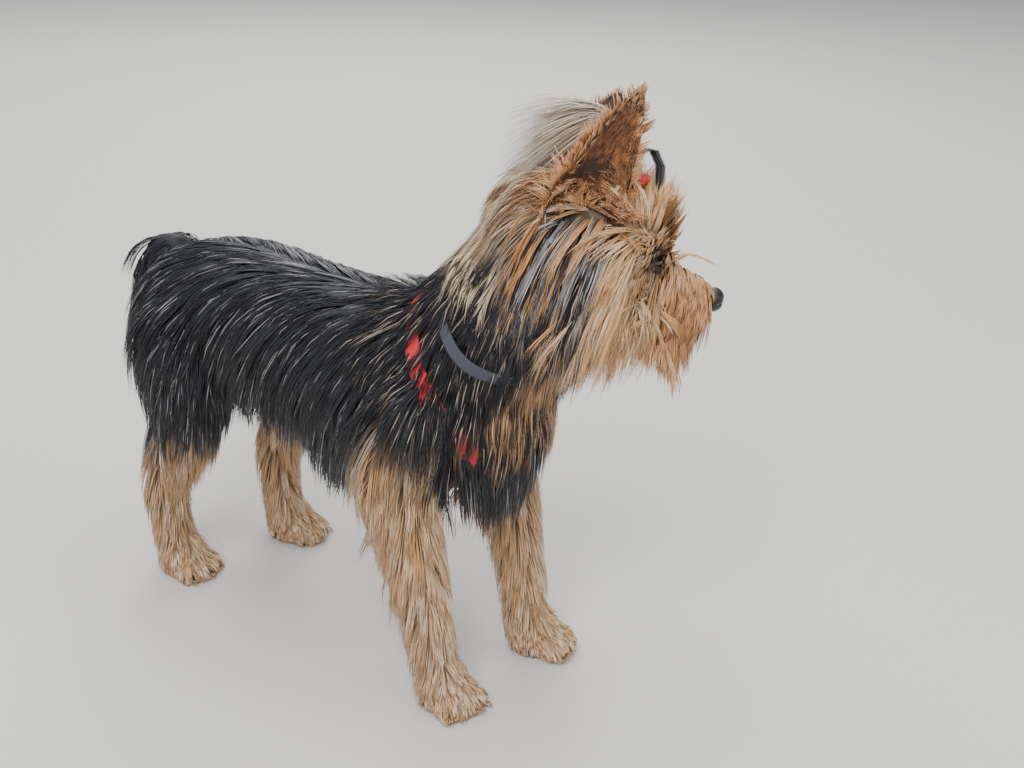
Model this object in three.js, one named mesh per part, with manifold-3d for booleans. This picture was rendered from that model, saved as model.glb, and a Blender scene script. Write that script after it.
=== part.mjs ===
// A long-coated toy terrier standing with its head turned to its left, life size.
// Millimetres, +Z up, +X the way the chest faces, +Y the dog's left; the soles stand on z = 0.
import * as THREE from "three";
import { mergeVertices } from "three/addons/utils/BufferGeometryUtils.js";
import Module from "manifold-3d";

const wasm = await Module();
wasm.setup();
const { Manifold } = wasm;
const { degToRad, lerp, clamp } = THREE.MathUtils;

// The gap between touching pieces, and the smallest step in a surface that is kept.
const GAP = 0.4;
const SLIVER = 0.15;

// The trunk's flesh from the rump to the breast: height of the back and of the belly, half width.
const TRUNK = [
  { x: -146, top: 174, bottom: 148, wide: 20 },
  { x: -134, top: 190, bottom: 136, wide: 35 },
  { x: -112, top: 202, bottom: 131, wide: 42 },
  { x: -75, top: 207, bottom: 134, wide: 41 },
  { x: -30, top: 205, bottom: 131, wide: 40 },
  { x: 15, top: 205, bottom: 120, wide: 43 },
  { x: 55, top: 207, bottom: 112, wide: 44 },
  { x: 88, top: 205, bottom: 112, wide: 39 },
  { x: 110, top: 194, bottom: 122, wide: 29 },
  { x: 120, top: 180, bottom: 138, wide: 17 },
];
const NECK = [
  { at: [84, 0, 178], wide: 36, deep: 38 },
  { at: [108, 4, 208], wide: 33, deep: 34 },
  { at: [130, 9, 237], wide: 29, deep: 29 },
  { at: [140, 12, 250], wide: 22, deep: 22 },
];

// The head has its own frame: forward along the muzzle, left, and up out of the skull.
const HEAD_PLACE = [142, 20, 250];
const HEAD_TURN = 45;
const HEAD_BOW = 13.5;
const HEAD_ROLL = -6;
const SKULL = [
  { at: [-36, 0, 3], wide: 15, deep: 15 },
  { at: [-26, 0, 4], wide: 25, deep: 24 },
  { at: [-8, 0, 4], wide: 29, deep: 27 },
  { at: [10, 0, 1], wide: 28, deep: 25 },
  { at: [24, 0, -4], wide: 22, deep: 20 },
  { at: [36, 0, -10], wide: 16, deep: 14.5 },
  { at: [52, 0, -14], wide: 13.5, deep: 12 },
  { at: [65, 0, -15], wide: 11, deep: 10.5 },
];
const NOSE = { at: [70.5, 0, -13], wide: 14, tall: 12, long: 10, nostril: 2 };
const MOUTH = { up: -20, slot: 0.9, deep: 2.4 };
const EYE = { at: [29, 17.5, 2], radius: 7.5, facing: [0.62, 0.76, 0.12], lid: 1.7, open: 10.5 };
const EAR = {
  foot: [-11, 22, 10],
  tip: [0, 33, 80],
  facing: [0.3, 0.95, 0],
  wide: 50,
  wrap: [68, 18],
  thick: 2.6,
};
const KNOT = { locks: 6, wide: 5 };
const TIE = { at: [14, 0, 34], radius: 7, wire: 2.4, lean: -25 };

// Leg joints from the body down to the ankle, half widths there, and each paw's place and heading.
const FORELEG_THICK = [20, 21, 15, 10.5, 9.5, 9.5];
const HINDLEG_THICK = [26, 25, 17, 12, 9, 9.5];
const LEGS = {
  foreleg_right: {
    joints: [[84, -29, 166], [73, -36, 136], [76, -39, 108], [88, -40, 74], [95, -39, 42], [99, -38, 14]],
    thick: FORELEG_THICK,
    paw: { at: [104, -37], turn: -4 },
  },
  foreleg_left: {
    joints: [[84, 29, 166], [74, 36, 136], [78, 38, 108], [90, 37, 74], [97, 36, 42], [102, 36, 14]],
    thick: FORELEG_THICK,
    paw: { at: [107, 38], turn: 24 },
  },
  hindleg_right: {
    joints: [
      [-108, -23, 166],
      [-98, -33, 138],
      [-93, -38, 112],
      [-106, -39, 86],
      [-120, -38, 58],
      [-117, -35, 14],
    ],
    thick: HINDLEG_THICK,
    paw: { at: [-112, -34], turn: 4 },
  },
  hindleg_left: {
    joints: [[-106, 23, 166], [-94, 33, 138], [-84, 38, 112], [-92, 39, 86], [-105, 39, 58], [-101, 40, 14]],
    thick: HINDLEG_THICK,
    paw: { at: [-95, 41], turn: 22 },
  },
};
const KNEE = 0.44;
const PAW = { long: 36, wide: 27, tall: 22, toe: 6.2, claw: 7 };
const TAIL = [
  { at: [-140, 0, 192], wide: 8, deep: 9 },
  { at: [-158, 0, 190], wide: 8, deep: 8 },
  { at: [-170, 0, 172], wide: 7, deep: 7 },
  { at: [-174, 0, 148], wide: 5.5, deep: 5.5 },
  { at: [-172, 0, 126], wide: 4, deep: 4 },
];

// Worn: a red chest band, a grey neck strap and a red hair tie.
const HARNESS = { through: [92, 0, 172], square: [0.84, 0, 0.54], wide: 12, thick: 2 };
const COLLAR = { through: [112, 5, 210], square: [0.6, 0.12, 0.79], wide: 9, thick: 1.8 };

const COLOURS = {
  steel: 0x2b2c33,
  tan: 0xc8905c,
  cream: 0xd9b48a,
  gold: 0xd2a06c,
  rust: 0x8a5330,
  black: 0x111214,
  silver: 0xb9b2ae,
  red: 0xc8202c,
  grey: 0x54596a,
};
function finish(colour, roughness) {
  return new THREE.MeshStandardMaterial({ color: colour, roughness, metalness: 0 });
}
const coat = (colour) => finish(colour, 0.55);

const vec = (list) => (list.isVector3 ? list.clone() : new THREE.Vector3(...list));
const HEAD = new THREE.Matrix4()
  .makeRotationZ(degToRad(HEAD_TURN))
  .multiply(new THREE.Matrix4().makeRotationY(degToRad(HEAD_BOW)))
  .multiply(new THREE.Matrix4().makeRotationX(degToRad(HEAD_ROLL)))
  .setPosition(vec(HEAD_PLACE));
const inHead = (list) => vec(list).applyMatrix4(HEAD);
const alongHead = (list) => vec(list).transformDirection(HEAD);

// A geometry as a closed solid with its faces pointing out.
function solid(geometry) {
  const bare = geometry.clone();
  bare.deleteAttribute("normal");
  bare.deleteAttribute("uv");
  const merged = mergeVertices(bare, 1e-3);
  const corners = [];
  const index = merged.index.array;
  for (let i = 0; i < index.length; i += 3) {
    const [a, b, c] = [index[i], index[i + 1], index[i + 2]];
    if (a !== b && b !== c && c !== a) corners.push(a, b, c);
  }
  const make = (triVerts) =>
    new Manifold(
      new wasm.Mesh({
        numProp: 3,
        vertProperties: Float32Array.from(merged.attributes.position.array),
        triVerts: Uint32Array.from(triVerts),
      }),
    );
  const made = make(corners);
  if (made.volume() > 0) return made;
  return make(corners.reverse());
}

function movePoints(geometry, place) {
  const points = geometry.attributes.position;
  const point = new THREE.Vector3();
  for (let i = 0; i < points.count; i++) {
    point.fromBufferAttribute(points, i);
    const to = place(point);
    points.setXYZ(i, to.x, to.y, to.z);
  }
  return geometry;
}

// A geometry turned so that its own z runs along a direction, and set at a place.
function aim(geometry, place, direction) {
  const up = new THREE.Vector3(0, 0, 1);
  const turn = new THREE.Quaternion().setFromUnitVectors(up, vec(direction).normalize());
  return geometry.applyQuaternion(turn).translate(...vec(place).toArray());
}

const ball = (place, size, sides = 12) =>
  new THREE.SphereGeometry(1, sides, Math.ceil(sides * 0.7)).scale(...size).translate(...place);

// One limb or trunk: elliptical stations along a line, with round ends.
class Limb {
  constructor(stations, across, { sides = 20, rings = 16, core = 0 } = {}) {
    this.line = new THREE.CatmullRomCurve3(stations.map((s) => vec(s.at)));
    this.sizes = new THREE.CatmullRomCurve3(stations.map((s) => new THREE.Vector3(s.wide, s.deep, 0)));
    Object.assign(this, { across: vec(across), sides, rings, core });
  }

  // The ring at t along the line, grown by so much.
  ring(t, grow = 0) {
    const along = this.line.getTangent(t);
    const deep = new THREE.Vector3().crossVectors(along, this.across).normalize();
    const wide = new THREE.Vector3().crossVectors(deep, along).normalize();
    const size = this.sizes.getPoint(t);
    return { centre: this.line.getPoint(t), along, wide, deep, a: size.x + grow, b: size.y + grow };
  }

  // The skin at t along and an angle round, with the way out of it.
  skin(t, angle, grow = 0) {
    const r = this.ring(t, grow);
    const [c, s] = [Math.cos(angle), Math.sin(angle)];
    const place = r.centre.clone().addScaledVector(r.wide, r.a * c).addScaledVector(r.deep, r.b * s);
    const out = r.wide.clone().multiplyScalar(c / r.a).addScaledVector(r.deep, s / r.b).normalize();
    return { place, out };
  }

  geometry(grow = 0) {
    const rows = this.rings;
    return movePoints(new THREE.SphereGeometry(1, this.sides, rows), (p) => {
      const row = Math.round((Math.acos(clamp(p.y, -1, 1)) / Math.PI) * rows);
      const t = clamp((row - 1) / (rows - 2), 0, 1);
      if (row > 0 && row < rows) return this.skin(t, Math.atan2(p.z, p.x), grow).place;
      const r = this.ring(t, grow);
      return r.centre.addScaledVector(r.along, (row ? 0.5 : -0.5) * Math.min(r.a, r.b));
    });
  }

  solid(grow = 0) {
    return solid(this.geometry(this.core + grow));
  }

  // How far a point lies outside the core, and the way out there.
  near(point) {
    this.rows ??= Array.from({ length: 25 }, (_, i) => this.ring(i / 24, this.core));
    let best = { gap: Infinity };
    for (const r of this.rows) {
      const off = point.clone().sub(r.centre);
      const small = Math.min(r.a, r.b);
      const part = [off.dot(r.wide) / r.a, off.dot(r.deep) / r.b, off.dot(r.along) / (small / 2)];
      const gap = (Math.hypot(...part) - 1) * small;
      if (gap < best.gap) best = { gap, r, part, small };
    }
    const { gap, r, part, small } = best;
    const out = r.wide.clone().multiplyScalar(part[0] / r.a).addScaledVector(r.deep, part[1] / r.b);
    return { gap, out: out.addScaledVector(r.along, (part[2] * 2) / small).normalize() };
  }
}

let seed = 23;
function chance(low, high) {
  seed = (Math.imul(seed, 1664525) + 1013904223) >>> 0;
  return low + ((high - low) * seed) / 4294967296;
}

const DOWN = new THREE.Vector3(0, 0, -1);
// How far under the flesh's surface a lock is rooted, and the lowest that its middle line comes.
const SINK = 3;
const FLOOR = 1.2;

// The way that a lock takes: off its root along the lay, bent down by its weight, over the bodies
// under it.
function fall(root, out, { lay, length, rise, weight = 0.35, sway = 0.12, steps = 3 }, over) {
  const heading = vec(lay);
  heading.addScaledVector(out, -heading.dot(out)).normalize();
  const path = [{ place: root.clone(), out: out.clone(), heading: heading.clone() }];
  const bend = chance(-sway, sway);
  for (let i = 1; i <= steps; i++) {
    const last = path[i - 1];
    const aside = new THREE.Vector3().crossVectors(last.out, heading);
    heading.addScaledVector(DOWN, (weight * i) / steps).addScaledVector(aside, bend * (i - 2)).normalize();
    const place = last.place.clone().addScaledVector(heading, length / steps);
    const high = lerp(rise[0], rise[1], (i - 1) / (steps - 1));
    const way = last.out.clone();
    for (let round = 0; round < 3; round++) {
      const near = over.map((limb) => limb.near(place)).sort((a, b) => a.gap - b.gap)[0];
      if (near.gap < high + 12) way.lerp(near.out, 0.6).normalize();
      if (near.gap < high) place.addScaledVector(near.out, high - near.gap);
    }
    place.z = Math.max(place.z, FLOOR);
    heading.copy(place).sub(last.place).normalize();
    heading.addScaledVector(way, -0.6 * Math.max(heading.dot(way), 0)).normalize();
    path.push({ place, out: way, heading: heading.clone() });
  }
  return path;
}

// One flat tapered lock with its ridge outwards, as a stretched three-sided cone bent along its way.
function lock({ path, wide, thick }, grow = 0) {
  const steps = path.length - 1;
  return solid(
    movePoints(new THREE.ConeGeometry(1, 1, 3, steps), (p) => {
      const i = Math.round((p.y + 0.5) * steps);
      const { place, out, heading } = path[i];
      if (i === steps) return place.clone().addScaledVector(heading, grow);
      const full = Math.sin(Math.PI * (0.25 + (0.72 * i) / steps)) ** 0.8;
      const aside = new THREE.Vector3().crossVectors(out, heading).normalize();
      const up = new THREE.Vector3().crossVectors(heading, aside);
      const share = 1 - i / steps;
      return place
        .clone()
        .addScaledVector(aside, (p.x / share) * (wide * full + 4 * grow))
        .addScaledVector(up, (p.z / share) * (thick * full + 2 * grow))
        .addScaledVector(heading, i ? 0 : -grow);
    }),
  );
}

// Rows of locks down both sides of a limb. Each row has an angle off the top line, a stretch along
// the limb and a count.
function coatOf(limb, rows, over, sides = [1, -1]) {
  const locks = [];
  for (const row of rows)
    for (const side of row.angle === 0 || row.angle === 180 ? [1] : sides)
      for (let i = 0; i < row.count; i++) {
        const share = (i + 0.5 + chance(-0.2, 0.2)) / row.count;
        const angle = degToRad(90 - side * (row.angle + chance(-5, 5)));
        const { place, out } = limb.skin(lerp(row.from, row.to, share), angle, limb.core - SINK);
        const lay = vec(row.lay);
        if (row.spread) lay.addScaledVector(limb.across, side * row.spread);
        const length = row.length * (row.longer ? lerp(row.longer, 1, share) : 1) * chance(0.85, 1.12);
        const path = fall(place, out, { ...row, lay, length }, over);
        locks.push({ path, wide: row.wide * chance(0.85, 1.15), thick: row.thick ?? 2.2 });
      }
  return locks;
}

const fuse = (flesh, locks, grow) => Manifold.union([flesh, ...locks.map((each) => lock(each, grow))]);

const trunk = new Limb(
  TRUNK.map((s) => ({ at: [s.x, 0, (s.top + s.bottom) / 2], wide: s.wide, deep: (s.top - s.bottom) / 2 })),
  [0, 1, 0],
  { sides: 16, rings: 12, core: 5.5 },
);
const neck = new Limb(NECK, [0, 1, 0], { sides: 12, rings: 6, core: 6 });
const skull = new Limb(SKULL.map((s) => ({ ...s, at: inHead(s.at) })), alongHead([0, 1, 0]), {
  sides: 14,
  rings: 12,
  core: 2,
});
const legs = {};
for (const [name, leg] of Object.entries(LEGS)) {
  const stations = leg.joints.map((at, i) => ({ at, wide: leg.thick[i], deep: leg.thick[i] }));
  legs[name] = new Limb(stations, [0, 1, 0], { sides: 8, rings: 9, core: 2 });
}

// The half of space on one side of a plane, as a great block.
function halfSpace(place, direction) {
  return solid(aim(new THREE.BoxGeometry(500, 500, 250).translate(0, 0, 125), place, direction));
}

// The part of a leg above its elbow or knee, way -1, or below it, way 1.
function legPiece(limb, way, grow = 0) {
  const { centre, along } = limb.ring(KNEE);
  along.multiplyScalar(way);
  return limb.solid(grow).intersect(halfSpace(centre.addScaledVector(along, GAP / 2 - grow), along));
}

// A paw: a pad, four toes in an arc and their claws, flat underneath.
function paw({ at, turn }, grow = 0) {
  const half = [PAW.long * 0.42 + grow, PAW.wide / 2 + grow, PAW.tall * 0.62 + grow];
  const pieces = [ball([0, 0, PAW.tall * 0.42], half, 8)];
  for (const spread of [-1.5, -0.5, 0.5, 1.5]) {
    const swing = spread * 0.42;
    const reach = PAW.long * 0.5 - Math.abs(spread) * 2.4;
    const side = spread * PAW.wide * 0.22;
    const size = [PAW.toe * 1.35 + grow, PAW.toe * 0.82 + grow, PAW.toe + grow];
    const toe = ball([0, 0, 0], size, 6).rotateZ(swing);
    pieces.push(toe.translate(reach - PAW.toe * 0.6, side, PAW.toe * 0.9));
    const claw = new THREE.ConeGeometry(1.6 + grow, PAW.claw + grow, 3).rotateZ(-Math.PI / 2 - 0.45);
    pieces.push(claw.rotateZ(swing).translate(reach + PAW.toe * 0.7, side + spread * 1.3, PAW.toe * 0.72));
  }
  const place = (piece) => solid(piece.rotateZ(degToRad(turn)).translate(at[0], at[1], 0));
  return Manifold.union(pieces.map(place)).intersect(halfSpace([0, 0, 0], [0, 0, 1]));
}

// Skull and muzzle with the mouth's line cut round the muzzle and a lid round each eye.
function headFlesh(grow = 0) {
  const { up, slot, deep } = MOUTH;
  const front = new THREE.BoxGeometry(60, 80, slot).translate(62, 0, up).applyMatrix4(HEAD);
  const line = solid(front).subtract(skull.solid(-deep));
  let made = skull.solid(grow);
  if (!grow) made = made.subtract(line);
  for (const side of [1, -1]) {
    const { place, facing, aside } = eyeFrame(side);
    const lidSize = EYE.radius + EYE.lid + grow;
    const lid = solid(ball(place.toArray(), [lidSize, lidSize, lidSize], 8));
    const opening = new THREE.SphereGeometry(1, 8, 4).scale(EYE.open * 0.5, EYE.open * 0.36, 12);
    const frame = new THREE.Matrix4().makeBasis(aside, vec(facing).cross(aside), facing);
    const hole = solid(opening.applyMatrix4(frame.setPosition(place.clone().addScaledVector(facing, 8))));
    const bare = Math.max(EYE.radius + GAP - grow, 0.1);
    made = made.add(lid).subtract(hole).subtract(solid(ball(place.toArray(), [bare, bare, bare], 10)));
  }
  return made;
}

function eyeFrame(side) {
  const [f, l, u] = EYE.at;
  const [x, y, z] = EYE.facing;
  const facing = alongHead([x, y * side, z]);
  const aside = alongHead([0, 0, 1]).cross(facing).normalize();
  return { place: inHead([f, l * side, u]), facing, aside };
}

function eye(side, grow = 0) {
  const size = EYE.radius + grow;
  return solid(ball(eyeFrame(side).place.toArray(), [size, size, size], 10));
}

// The nose pad, broad on top, with two nostrils.
function nosePad(grow = 0) {
  const [f, l, u] = NOSE.at;
  const half = [NOSE.long / 2 + grow, NOSE.wide / 2 + grow, NOSE.tall / 2 + grow];
  let made = solid(ball([f, l, u], half, 10).applyMatrix4(HEAD));
  for (const side of grow ? [] : [1, -1]) {
    const hole = ball([0, 0, 0], [4, NOSE.nostril * 0.8, NOSE.nostril], 6).rotateZ(-0.5 * side);
    made = made.subtract(solid(hole.translate(f + NOSE.long * 0.45, side * 3.1, u + 0.4).applyMatrix4(HEAD)));
  }
  return made;
}

// A thin pointed leaf curled into a cup that opens outwards, wrapped most at its foot.
function ear(side, grow = 0) {
  const foot = inHead([EAR.foot[0], EAR.foot[1] * side, EAR.foot[2]]);
  const tip = inHead([EAR.tip[0], EAR.tip[1] * side, EAR.tip[2]]);
  const [x, y, z] = EAR.facing;
  const rise = tip.clone().sub(foot);
  const tall = rise.length();
  const upwards = rise.normalize();
  const facing = alongHead([x, y * side, z]);
  facing.addScaledVector(upwards, -facing.dot(upwards)).normalize();
  const aside = new THREE.Vector3().crossVectors(upwards, facing);
  return solid(
    movePoints(new THREE.BoxGeometry(2, 1, 1, 6, 6, 1), (p) => {
      const v = p.y + 0.5;
      const half = (EAR.wide / 2) * (1 - v) ** 0.72 + 1 + grow;
      const wrap = degToRad(lerp(EAR.wrap[0], EAR.wrap[1], v ** 0.6));
      const round = half / wrap;
      const angle = p.x * wrap;
      const thick = (EAR.thick * lerp(1.2, 0.6, v) * (1 - 0.35 * Math.abs(p.x)) + 2 * grow) * p.z;
      const reach = round - thick;
      const forward = round - reach * Math.cos(angle) - round * 0.4 * (1 - v);
      const height = v * (tall + grow) - (v === 0 ? grow : 0);
      return foot
        .clone()
        .addScaledVector(upwards, height)
        .addScaledVector(aside, reach * Math.sin(angle))
        .addScaledVector(facing, forward);
    }),
  );
}

// The ring round the gathered hair.
function hairTie(grow = 0) {
  const ring = new THREE.TorusGeometry(TIE.radius, TIE.wire + grow, 6, 12);
  return solid(ring.rotateY(degToRad(TIE.lean)).translate(...TIE.at).applyMatrix4(HEAD));
}

// A flat band that follows whatever bodies it goes round.
function band({ through, square, wide, thick }, bodies, grow = 0) {
  const slab = solid(aim(new THREE.BoxGeometry(200, 200, wide + 2 * grow), through, square));
  const outside = Manifold.union(bodies.map((make) => make(GAP + thick + grow)));
  const inside = Manifold.union(bodies.map((make) => make(GAP - grow)));
  return slab.intersect(outside).subtract(inside);
}

const beard = new Limb(
  [
    { at: [46, 0, -20], wide: 15, deep: 18 },
    { at: [38, 0, -30], wide: 17, deep: 22 },
    { at: [26, 0, -40], wide: 16, deep: 20 },
    { at: [16, 0, -46], wide: 9, deep: 10 },
  ].map((s) => ({ ...s, at: inHead(s.at) })),
  alongHead([0, 1, 0]),
  { sides: 10, rings: 5 },
);
// The gathered hair: a stalk through the tie, from which locks arch back over the skull, and one
// small loop forwards.
const stalk = new Limb(
  [
    { at: [19, 0, 25], wide: 3.4, deep: 3.4 },
    { at: [14, 0, 35], wide: 3.4, deep: 3.4 },
    { at: [9, 0, 44], wide: 4.4, deep: 4.4 },
    { at: [4, 0, 50], wide: 4, deep: 4 },
  ].map((s) => ({ ...s, at: inHead(s.at) })),
  alongHead([0, 1, 0]),
  { sides: 10, rings: 6 },
);
function archedLock(line, wide) {
  const curve = new THREE.CatmullRomCurve3(line.map(inHead));
  const steps = 5;
  const path = Array.from({ length: steps + 1 }, (_, i) => {
    const heading = curve.getTangent(i / steps);
    const out = alongHead([0.3, 0, 1]);
    out.addScaledVector(heading, -out.dot(heading)).normalize();
    return { place: curve.getPoint(i / steps), out, heading };
  });
  return { path, wide, thick: 2 };
}
const fountain = [];
for (let i = 0; i < KNOT.locks; i++) {
  const side = lerp(-1, 1, i / (KNOT.locks - 1));
  const drop = chance(0, 1);
  fountain.push(
    archedLock(
      [
        [9, side * 1.5, 43],
        [-6, side * 5 + chance(-1, 1), lerp(64, 58, drop)],
        [-26, side * 11, lerp(66, 52, drop)],
        [lerp(-50, -44, drop), side * 16, lerp(58, 30, drop)],
      ],
      KNOT.wide,
    ),
  );
}
fountain.push(archedLock([[10, 0, 42], [18, 0, 52], [27, -1, 42], [28, -2, 26]], KNOT.wide * 0.8));
const tail = new Limb(TAIL, [0, 1, 0], { sides: 8, rings: 6, core: 2 });

const allLegs = Object.values(legs);
const torsoCoat = coatOf(
  trunk,
  [
    { angle: 15, from: 0.06, to: 0.8, count: 6, lay: [-1, 0, -0.9], length: 54, rise: [2, 8], wide: 11 },
    { angle: 50, from: 0.04, to: 0.84, count: 7, lay: [-0.6, 0, -1], length: 54, rise: [1.5, 7.5], wide: 10 },
    {
      angle: 86, from: 0.03, to: 0.8, count: 7,
      lay: [-0.5, 0, -1], length: 46, longer: 1.6, rise: [1, 7], wide: 10,
    },
    { angle: 113, from: 0.1, to: 0.7, count: 5, lay: [-0.4, 0, -1], length: 32, rise: [1, 6], wide: 10 },
    { angle: 104, from: 0.0, to: 0.12, count: 2, lay: [-0.5, 0, -1], length: 78, rise: [2, 8], wide: 9 },
    { angle: 116, from: 0.64, to: 0.72, count: 2, lay: [-0.3, 0, -1], length: 60, rise: [1, 5], wide: 7 },
    { angle: 120, from: 0.86, to: 0.99, count: 2, lay: [0.2, 0, -1], length: 46, rise: [1, 6], wide: 10 },
    { angle: 155, from: 0.9, to: 0.98, count: 1, lay: [0.2, 0, -1], length: 34, rise: [1, 6], wide: 10 },
  ],
  [trunk, ...allLegs],
);
const neckCoat = coatOf(
  neck,
  [
    { angle: 18, from: 0.05, to: 0.7, count: 2, lay: [-1, 0, -0.9], length: 48, rise: [3, 9], wide: 10 },
    { angle: 55, from: 0.05, to: 0.75, count: 2, lay: [-0.6, 0, -1], length: 48, rise: [2.5, 8.5], wide: 10 },
    { angle: 94, from: 0.05, to: 0.7, count: 3, lay: [-0.35, 0, -1], length: 46, rise: [2, 8], wide: 10 },
    { angle: 140, from: 0.1, to: 0.7, count: 2, lay: [-0.05, 0, -1], length: 44, rise: [2, 8], wide: 10 },
  ],
  [neck, trunk, ...allLegs],
);
const down = alongHead([-0.2, 0, -1]);
const headCoat = coatOf(
  skull,
  [
    {
      angle: 24, from: 0.02, to: 0.26, count: 2,
      lay: alongHead([-1, 0, -0.2]), length: 32, rise: [1, 8], wide: 8,
    },
    {
      angle: 66, from: 0.0, to: 0.2, count: 2,
      lay: alongHead([-0.7, 0, -0.9]), length: 48, rise: [1, 10], wide: 9,
    },
    { angle: 100, from: 0.12, to: 0.6, count: 3, lay: down, length: 62, rise: [1.5, 9], wide: 9 },
    { angle: 58, from: 0.7, to: 0.95, count: 3, lay: down, spread: 0.7, length: 46, rise: [3, 7], wide: 7 },
    { angle: 104, from: 0.66, to: 1, count: 2, lay: down, spread: 0.4, length: 54, rise: [2, 5], wide: 9 },
    { angle: 152, from: 0.5, to: 0.94, count: 2, lay: down, spread: 0.2, length: 56, rise: [1, 4], wide: 8 },
    {
      angle: 18, from: 0.66, to: 0.8, count: 2,
      lay: alongHead([-0.2, 0, 1]), spread: 0.5, length: 24, rise: [2, 14], wide: 5, weight: 0,
    },
    {
      angle: 36, from: 0.48, to: 0.58, count: 1,
      lay: alongHead([-0.6, 0, 1]), length: 22, rise: [1, 6], wide: 6, weight: 0,
    },
  ],
  [skull, beard, neck, trunk],
);
const tailCoat = coatOf(
  tail,
  [
    {
      angle: 60, from: 0.05, to: 0.9, count: 2,
      lay: [-0.3, 0, -1], length: 44, rise: [1, 5], wide: 7, spread: 0.2,
    },
    { angle: 130, from: 0.2, to: 0.95, count: 2, lay: [-0.4, 0, -1], length: 40, rise: [1, 5], wide: 7 },
  ],
  [tail, trunk],
);
const back = [-0.55, 0, -1];
const upperRows = [
  { angle: 60, from: 0.06, to: 0.36, count: 1, lay: [-0.1, 0, -1], length: 46, rise: [1, 5], wide: 9 },
  { angle: 125, from: 0.16, to: 0.4, count: 1, lay: back, length: 50, rise: [1, 5], wide: 9 },
];
const lowerRows = [
  { angle: 50, from: 0.46, to: 0.86, count: 2, lay: [0, 0, -1], length: 32, rise: [1, 4], wide: 7 },
  { angle: 120, from: 0.46, to: 0.9, count: 2, lay: back, length: 36, rise: [1, 5], wide: 7 },
  { angle: 180, from: 0.5, to: 0.8, count: 1, lay: back, length: 38, rise: [1, 7], wide: 6.5 },
];

// Every piece in the order in which it keeps its room, with a maker that can grow it by the gap.
const pieces = [];
const piece = (name, material, make) => pieces.push({ name, material, make });
const bodies = [trunk, neck, ...allLegs].map((limb) => (grow) => limb.solid(grow));

piece("eye_right", finish(COLOURS.black, 0.08), (grow) => eye(-1, grow));
piece("eye_left", finish(COLOURS.black, 0.08), (grow) => eye(1, grow));
piece("nose", finish(COLOURS.black, 0.35), nosePad);
piece("topknot_tie", finish(COLOURS.red, 0.6), hairTie);
piece("harness", finish(COLOURS.red, 0.8), (grow) => band(HARNESS, bodies, grow));
piece("collar", finish(COLOURS.grey, 0.7), (grow) => band(COLLAR, [bodies[1]], grow));
piece("head", coat(COLOURS.gold), (grow) => fuse(headFlesh(grow).add(beard.solid(grow)), headCoat, grow));
piece("ear_right", coat(COLOURS.rust), (grow) => ear(-1, grow));
piece("ear_left", coat(COLOURS.rust), (grow) => ear(1, grow));
piece("neck", coat(COLOURS.cream), (grow) => fuse(neck.solid(grow), neckCoat, grow));
piece("torso", coat(COLOURS.steel), (grow) => fuse(trunk.solid(grow), torsoCoat, grow));
piece("topknot", coat(COLOURS.silver), (grow) => fuse(stalk.solid(grow), fountain, grow));
piece("tail", coat(COLOURS.steel), (grow) => fuse(tail.solid(grow), tailCoat, grow));
for (const [name, limb] of Object.entries(legs)) {
  const upperCoat = coatOf(limb, upperRows, [limb, trunk]);
  const lowerCoat = coatOf(limb, lowerRows, [limb]);
  piece(`${name}_upper`, coat(COLOURS.tan), (grow) => fuse(legPiece(limb, -1, grow), upperCoat, grow));
  piece(`${name}_paw`, coat(COLOURS.tan), (grow) => paw(LEGS[name].paw, grow));
  piece(`${name}_lower`, coat(COLOURS.tan), (grow) => fuse(legPiece(limb, 1, grow), lowerCoat, grow));
}

// Each piece gives way to those before it and keeps its largest body.
const largest = (made) => made.decompose().sort((a, b) => b.volume() - a.volume())[0];
const reach = (made) => {
  const { min, max } = made.boundingBox();
  return new THREE.Box3(vec([...min]), vec([...max]));
};
const taken = [];
for (const each of pieces) {
  each.made = each.make(0);
  const near = taken.filter((room) => reach(room).intersectsBox(reach(each.made)));
  for (const room of near) each.made = each.made.subtract(room);
  each.made = largest(each.made.simplify(SLIVER));
  taken.push(each.make(GAP), each.made);
}

// The origin is on the floor under the middle of the whole dog.
const box = new THREE.Box3();
for (const { made } of pieces) box.union(reach(made));
const middle = box.getCenter(new THREE.Vector3());

// A solid's own faces as a geometry.
function facesOf(made) {
  const { vertProperties, triVerts } = made.getMesh();
  return new THREE.BufferGeometry()
    .setAttribute("position", new THREE.BufferAttribute(vertProperties, 3))
    .setIndex(new THREE.BufferAttribute(triVerts, 1));
}

const dog = new THREE.Group();
for (const { name, material, made } of pieces) {
  let geometry = facesOf(made).translate(-middle.x, -middle.y, -box.min.z);
  for (let welds = 0; welds < 3; welds++) geometry = facesOf(largest(solid(geometry)));
  const mesh = new THREE.Mesh(geometry, material);
  mesh.name = name;
  dog.add(mesh);
}

export default dog;
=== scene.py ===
import math

import bmesh
import bpy
import numpy as np
from mathutils import Matrix, Vector, bvhtree, kdtree


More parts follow.
